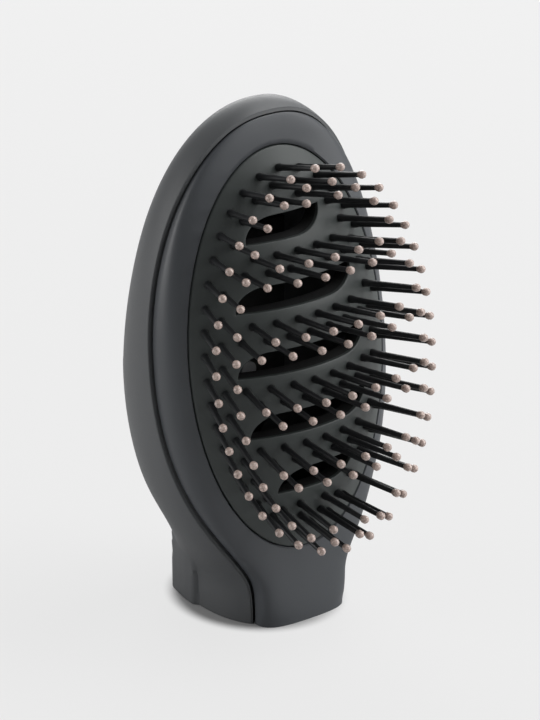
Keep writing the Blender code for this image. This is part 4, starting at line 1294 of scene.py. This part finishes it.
    def build(self) -> list[bpy.types.Object]:
        """One piece of shafts and backing a strip, and one piece with its coated tips.

        Returns:
            The pieces, of which each first one stands for the CAD strip.
        """
        turn = np.linspace(self.ball_start, 1.0, self.ball_rings) * math.pi
        rise = self.ball_radius * np.cos(turn)
        rise = np.where(rise > 0.0, self.tip_stretch * rise, rise)
        ball = np.stack([self.length - rise, self.ball_radius * np.sin(turn)], -1)
        ball[-1, 1] = 0.0
        made = []
        names = self.edge_names.split()
        jobs = [(f"edge_{name}", n, self.edge_strip) for n, name in enumerate(names)]
        jobs += [(f"band_{n + 1}", n, self.band_strip) for n in range(len(self.rows))]
        for label, number, strip in jobs:
            shell, tips = Shell(f"pins_{label}"), Shell(f"tips_{label}")
            places = strip(number, shell)
            self.put(shell, places, np.array(self.shaft))
            piece = shell.make(PIN_NYLON, 50.0)
            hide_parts(f"pin_strip_{label}")
            self.put(tips, places, ball)
            tip_piece = tips.make(TIP_EPOXY, 60.0)
            made += [piece, tip_piece]
            LOG.info("strip %s carries %d pins", label, len(places))
        return made


# --------------------------------------------------------------------------- inside
@dataclass(frozen=True)
class InnerParts:
    """The pieces inside the head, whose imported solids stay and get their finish."""

    finishes: tuple[tuple[str, Finish], ...] = (
        # Black ABS, darkened past its own colour to paint the shade inside the head
        ("pin_clamp_plate", BLACK_ABS_AND_PAINTED_SHADE),
        ("coupling_socket", BLACK_ABS_AND_PAINTED_SHADE),
        ("air_guide", BLACK_ABS_AND_PAINTED_SHADE),
        ("socket_seal", SEAL_SILICONE),
        ("guide_screw_1", SCREW_STEEL),
        ("guide_screw_2", SCREW_STEEL),
    )

    def dress(self, nodes: dict[str, bpy.types.Object]) -> list[bpy.types.Object]:
        """Give every carried node its finish.

        Args:
            nodes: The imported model's nodes by name.

        Returns:
            The dressed nodes.
        """
        made = []
        for name, finish in self.finishes:
            node = nodes[name]
            if not node.material_slots:
                node.data.materials.append(finish.material())
            for slot in node.material_slots:
                slot.material = finish.material()
            made.append(node)
        return made


# --------------------------------------------------------------------------- studio
@dataclass
class Studio:
    """Pale sweep, soft lamps and the camera at the photograph's angle."""

    backdrop_colour: str = "EFEFEF"
    paper_colour: str = "C6C6C6"
    floor_half: float = 3.0
    floor_glow: float = 0.86
    foot_middle: tuple[float, float, float] = (-0.0015, 0.0045, 0.0)
    foot_reach: tuple[float, float, float] = (0.0195, 0.0215, 1.0)
    foot_fade: float = 1.25
    azimuth: float = -37.49
    elevation: float = 22.48
    distance: float = 1.0
    target: tuple[float, float, float] = (-0.0002, 0.0, 0.068)
    lens: float = 192.2
    sensor: float = 36.0
    clip: tuple[float, float] = (0.01, 20.0)
    sky: float = 0.29
    # Each lamp's place, side and power in watts
    lamps: tuple[tuple[str, tuple[float, float, float], float, float], ...] = (
        ("top_softbox", (0.80, -0.25, 1.15), 1.0, 15.0),
        ("front_softbox", (1.05, -0.95, 0.42), 0.9, 10.0),
        ("back_left_softbox", (-1.15, 0.75, 0.30), 0.55, 6.5),
        ("back_right_softbox", (0.60, 0.90, 0.60), 0.8, 10.0),
    )

    def floor(self) -> bpy.types.Object:
        """Wide flat floor, part of whose paleness the camera sees whatever the light.

        The head's shadow falls on the other part, which keeps it as soft as on lit paper.
        Under the collar and close around it the floor is plain paper, and dark in its shade.
        """
        mesh = bpy.data.meshes.new("studio_floor")
        signs = ((-1, -1), (1, -1), (1, 1), (-1, 1))
        corners = [(self.floor_half * x, self.floor_half * y, 0.0) for x, y in signs]
        mesh.from_pydata(corners, [], [(0, 1, 2, 3)])
        material = bpy.data.materials.new("matt_paper_sweep")
        tree = empty_tree(material)
        paper = add_node(tree, "BsdfDiffuse", Color=linear(self.paper_colour))
        glow = add_node(tree, "Emission", Color=linear(self.backdrop_colour), Strength=1.0)
        seen = add_node(tree, "LightPath").outputs["Is Camera Ray"]
        place = add_node(tree, "TexCoord").outputs["Object"]
        for operation, value in (("SUBTRACT", self.foot_middle), ("DIVIDE", self.foot_reach)):
            moved = add_node(tree, "VectorMath", {"operation": operation}, _0=place, _1=value)
            place = moved.outputs["Vector"]
        away = add_node(tree, "VectorMath", {"operation": "LENGTH"}, _0=place).outputs["Value"]
        fade = {"From_Min": 1.0, "From_Max": self.foot_fade, "To_Max": self.floor_glow}
        beside = add_node(
            tree, "MapRange", {"interpolation_type": "SMOOTHSTEP"}, Value=away, **fade
        ).outputs["Result"]
        share = add_node(tree, "Math", {"operation": "MULTIPLY"}, _0=seen, _1=beside).outputs[0]
        mixed = add_node(tree, "MixShader", _0=share, _1=paper.outputs[0], _2=glow.outputs[0])
        add_node(tree, "OutputMaterial", Surface=mixed.outputs[0])
        mesh.materials.append(material)
        floor = bpy.data.objects.new("studio_floor", mesh)
        bpy.context.scene.collection.objects.link(floor)
        floor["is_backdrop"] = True
        return floor

    def world(self) -> None:
        """Even pale sky, which the camera sees as the backdrop's colour."""
        world = bpy.data.worlds.new("pale_studio")
        bpy.context.scene.world = world
        tree = empty_tree(world)
        seen = add_node(tree, "LightPath").outputs["Is Camera Ray"]
        colours = (((1.0, 1.0, 1.0, 1.0), self.sky), (linear(self.backdrop_colour), 1.0))
        lit, pale = (
            add_node(tree, "Background", Color=colour, Strength=strength).outputs[0]
            for colour, strength in colours
        )
        mixed = add_node(tree, "MixShader", _0=seen, _1=lit, _2=pale)
        add_node(tree, "OutputWorld", Surface=mixed.outputs[0])

    def lamp(self, name: str, at: tuple[float, float, float], size: float, power: float) -> None:
        """Square soft lamp that points at the head."""
        light = bpy.data.lights.new(name, "AREA")
        light.shape, light.size, light.energy = "SQUARE", size, power
        lamp = bpy.data.objects.new(name, light)
        lamp.location = at
        aim = Vector(self.target) - Vector(at)
        lamp.rotation_euler = aim.to_track_quat("-Z", "Y").to_euler()
        bpy.context.scene.collection.objects.link(lamp)

    def camera(self) -> None:
        """Camera on the photograph's line of sight, aimed at the head's middle."""
        turn, rise = math.radians(self.azimuth), math.radians(self.elevation)
        flat = math.cos(rise)
        back = Vector((math.sin(turn) * flat, -math.cos(turn) * flat, math.sin(rise)))
        data = bpy.data.cameras.new("photograph_camera")
        data.lens, data.sensor_width = self.lens, self.sensor
        data.clip_start, data.clip_end = self.clip
        camera = bpy.data.objects.new("photograph_camera", data)
        camera.location = Vector(self.target) + back * self.distance
        camera.rotation_euler = (-back).to_track_quat("-Z", "Y").to_euler()
        bpy.context.scene.collection.objects.link(camera)
        bpy.context.scene.camera = camera

    def build(self) -> None:
        """Set the stage."""
        bpy.context.scene.view_settings.view_transform = "Standard"
        self.camera()
        self.floor()
        self.world()
        for lamp in self.lamps:
            self.lamp(*lamp)


def corners(box: tuple[Vector, Vector]) -> list[list[float]]:
    """The two corners of a box as plain lists."""
    return [[float(c) for c in corner] for corner in box]


def main() -> None:
    """Build and dress the head in order, and measure the two boxes."""
    logging.basicConfig(level=logging.INFO, format="%(name)s: %(message)s")
    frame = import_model()
    size = {"cad": corners(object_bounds())}
    Studio().build()
    made = [RearCasing().build(), FrontFrame().build(), BristlePlate().build()]
    made += PinField().build()
    made += InnerParts().dress(frame["nodes"])
    for piece in made:
        LOG.info("%s: %d faces", piece.name, len(piece.data.polygons))
    size["visual"] = corners(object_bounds())


if __name__ == "__main__":
    main()
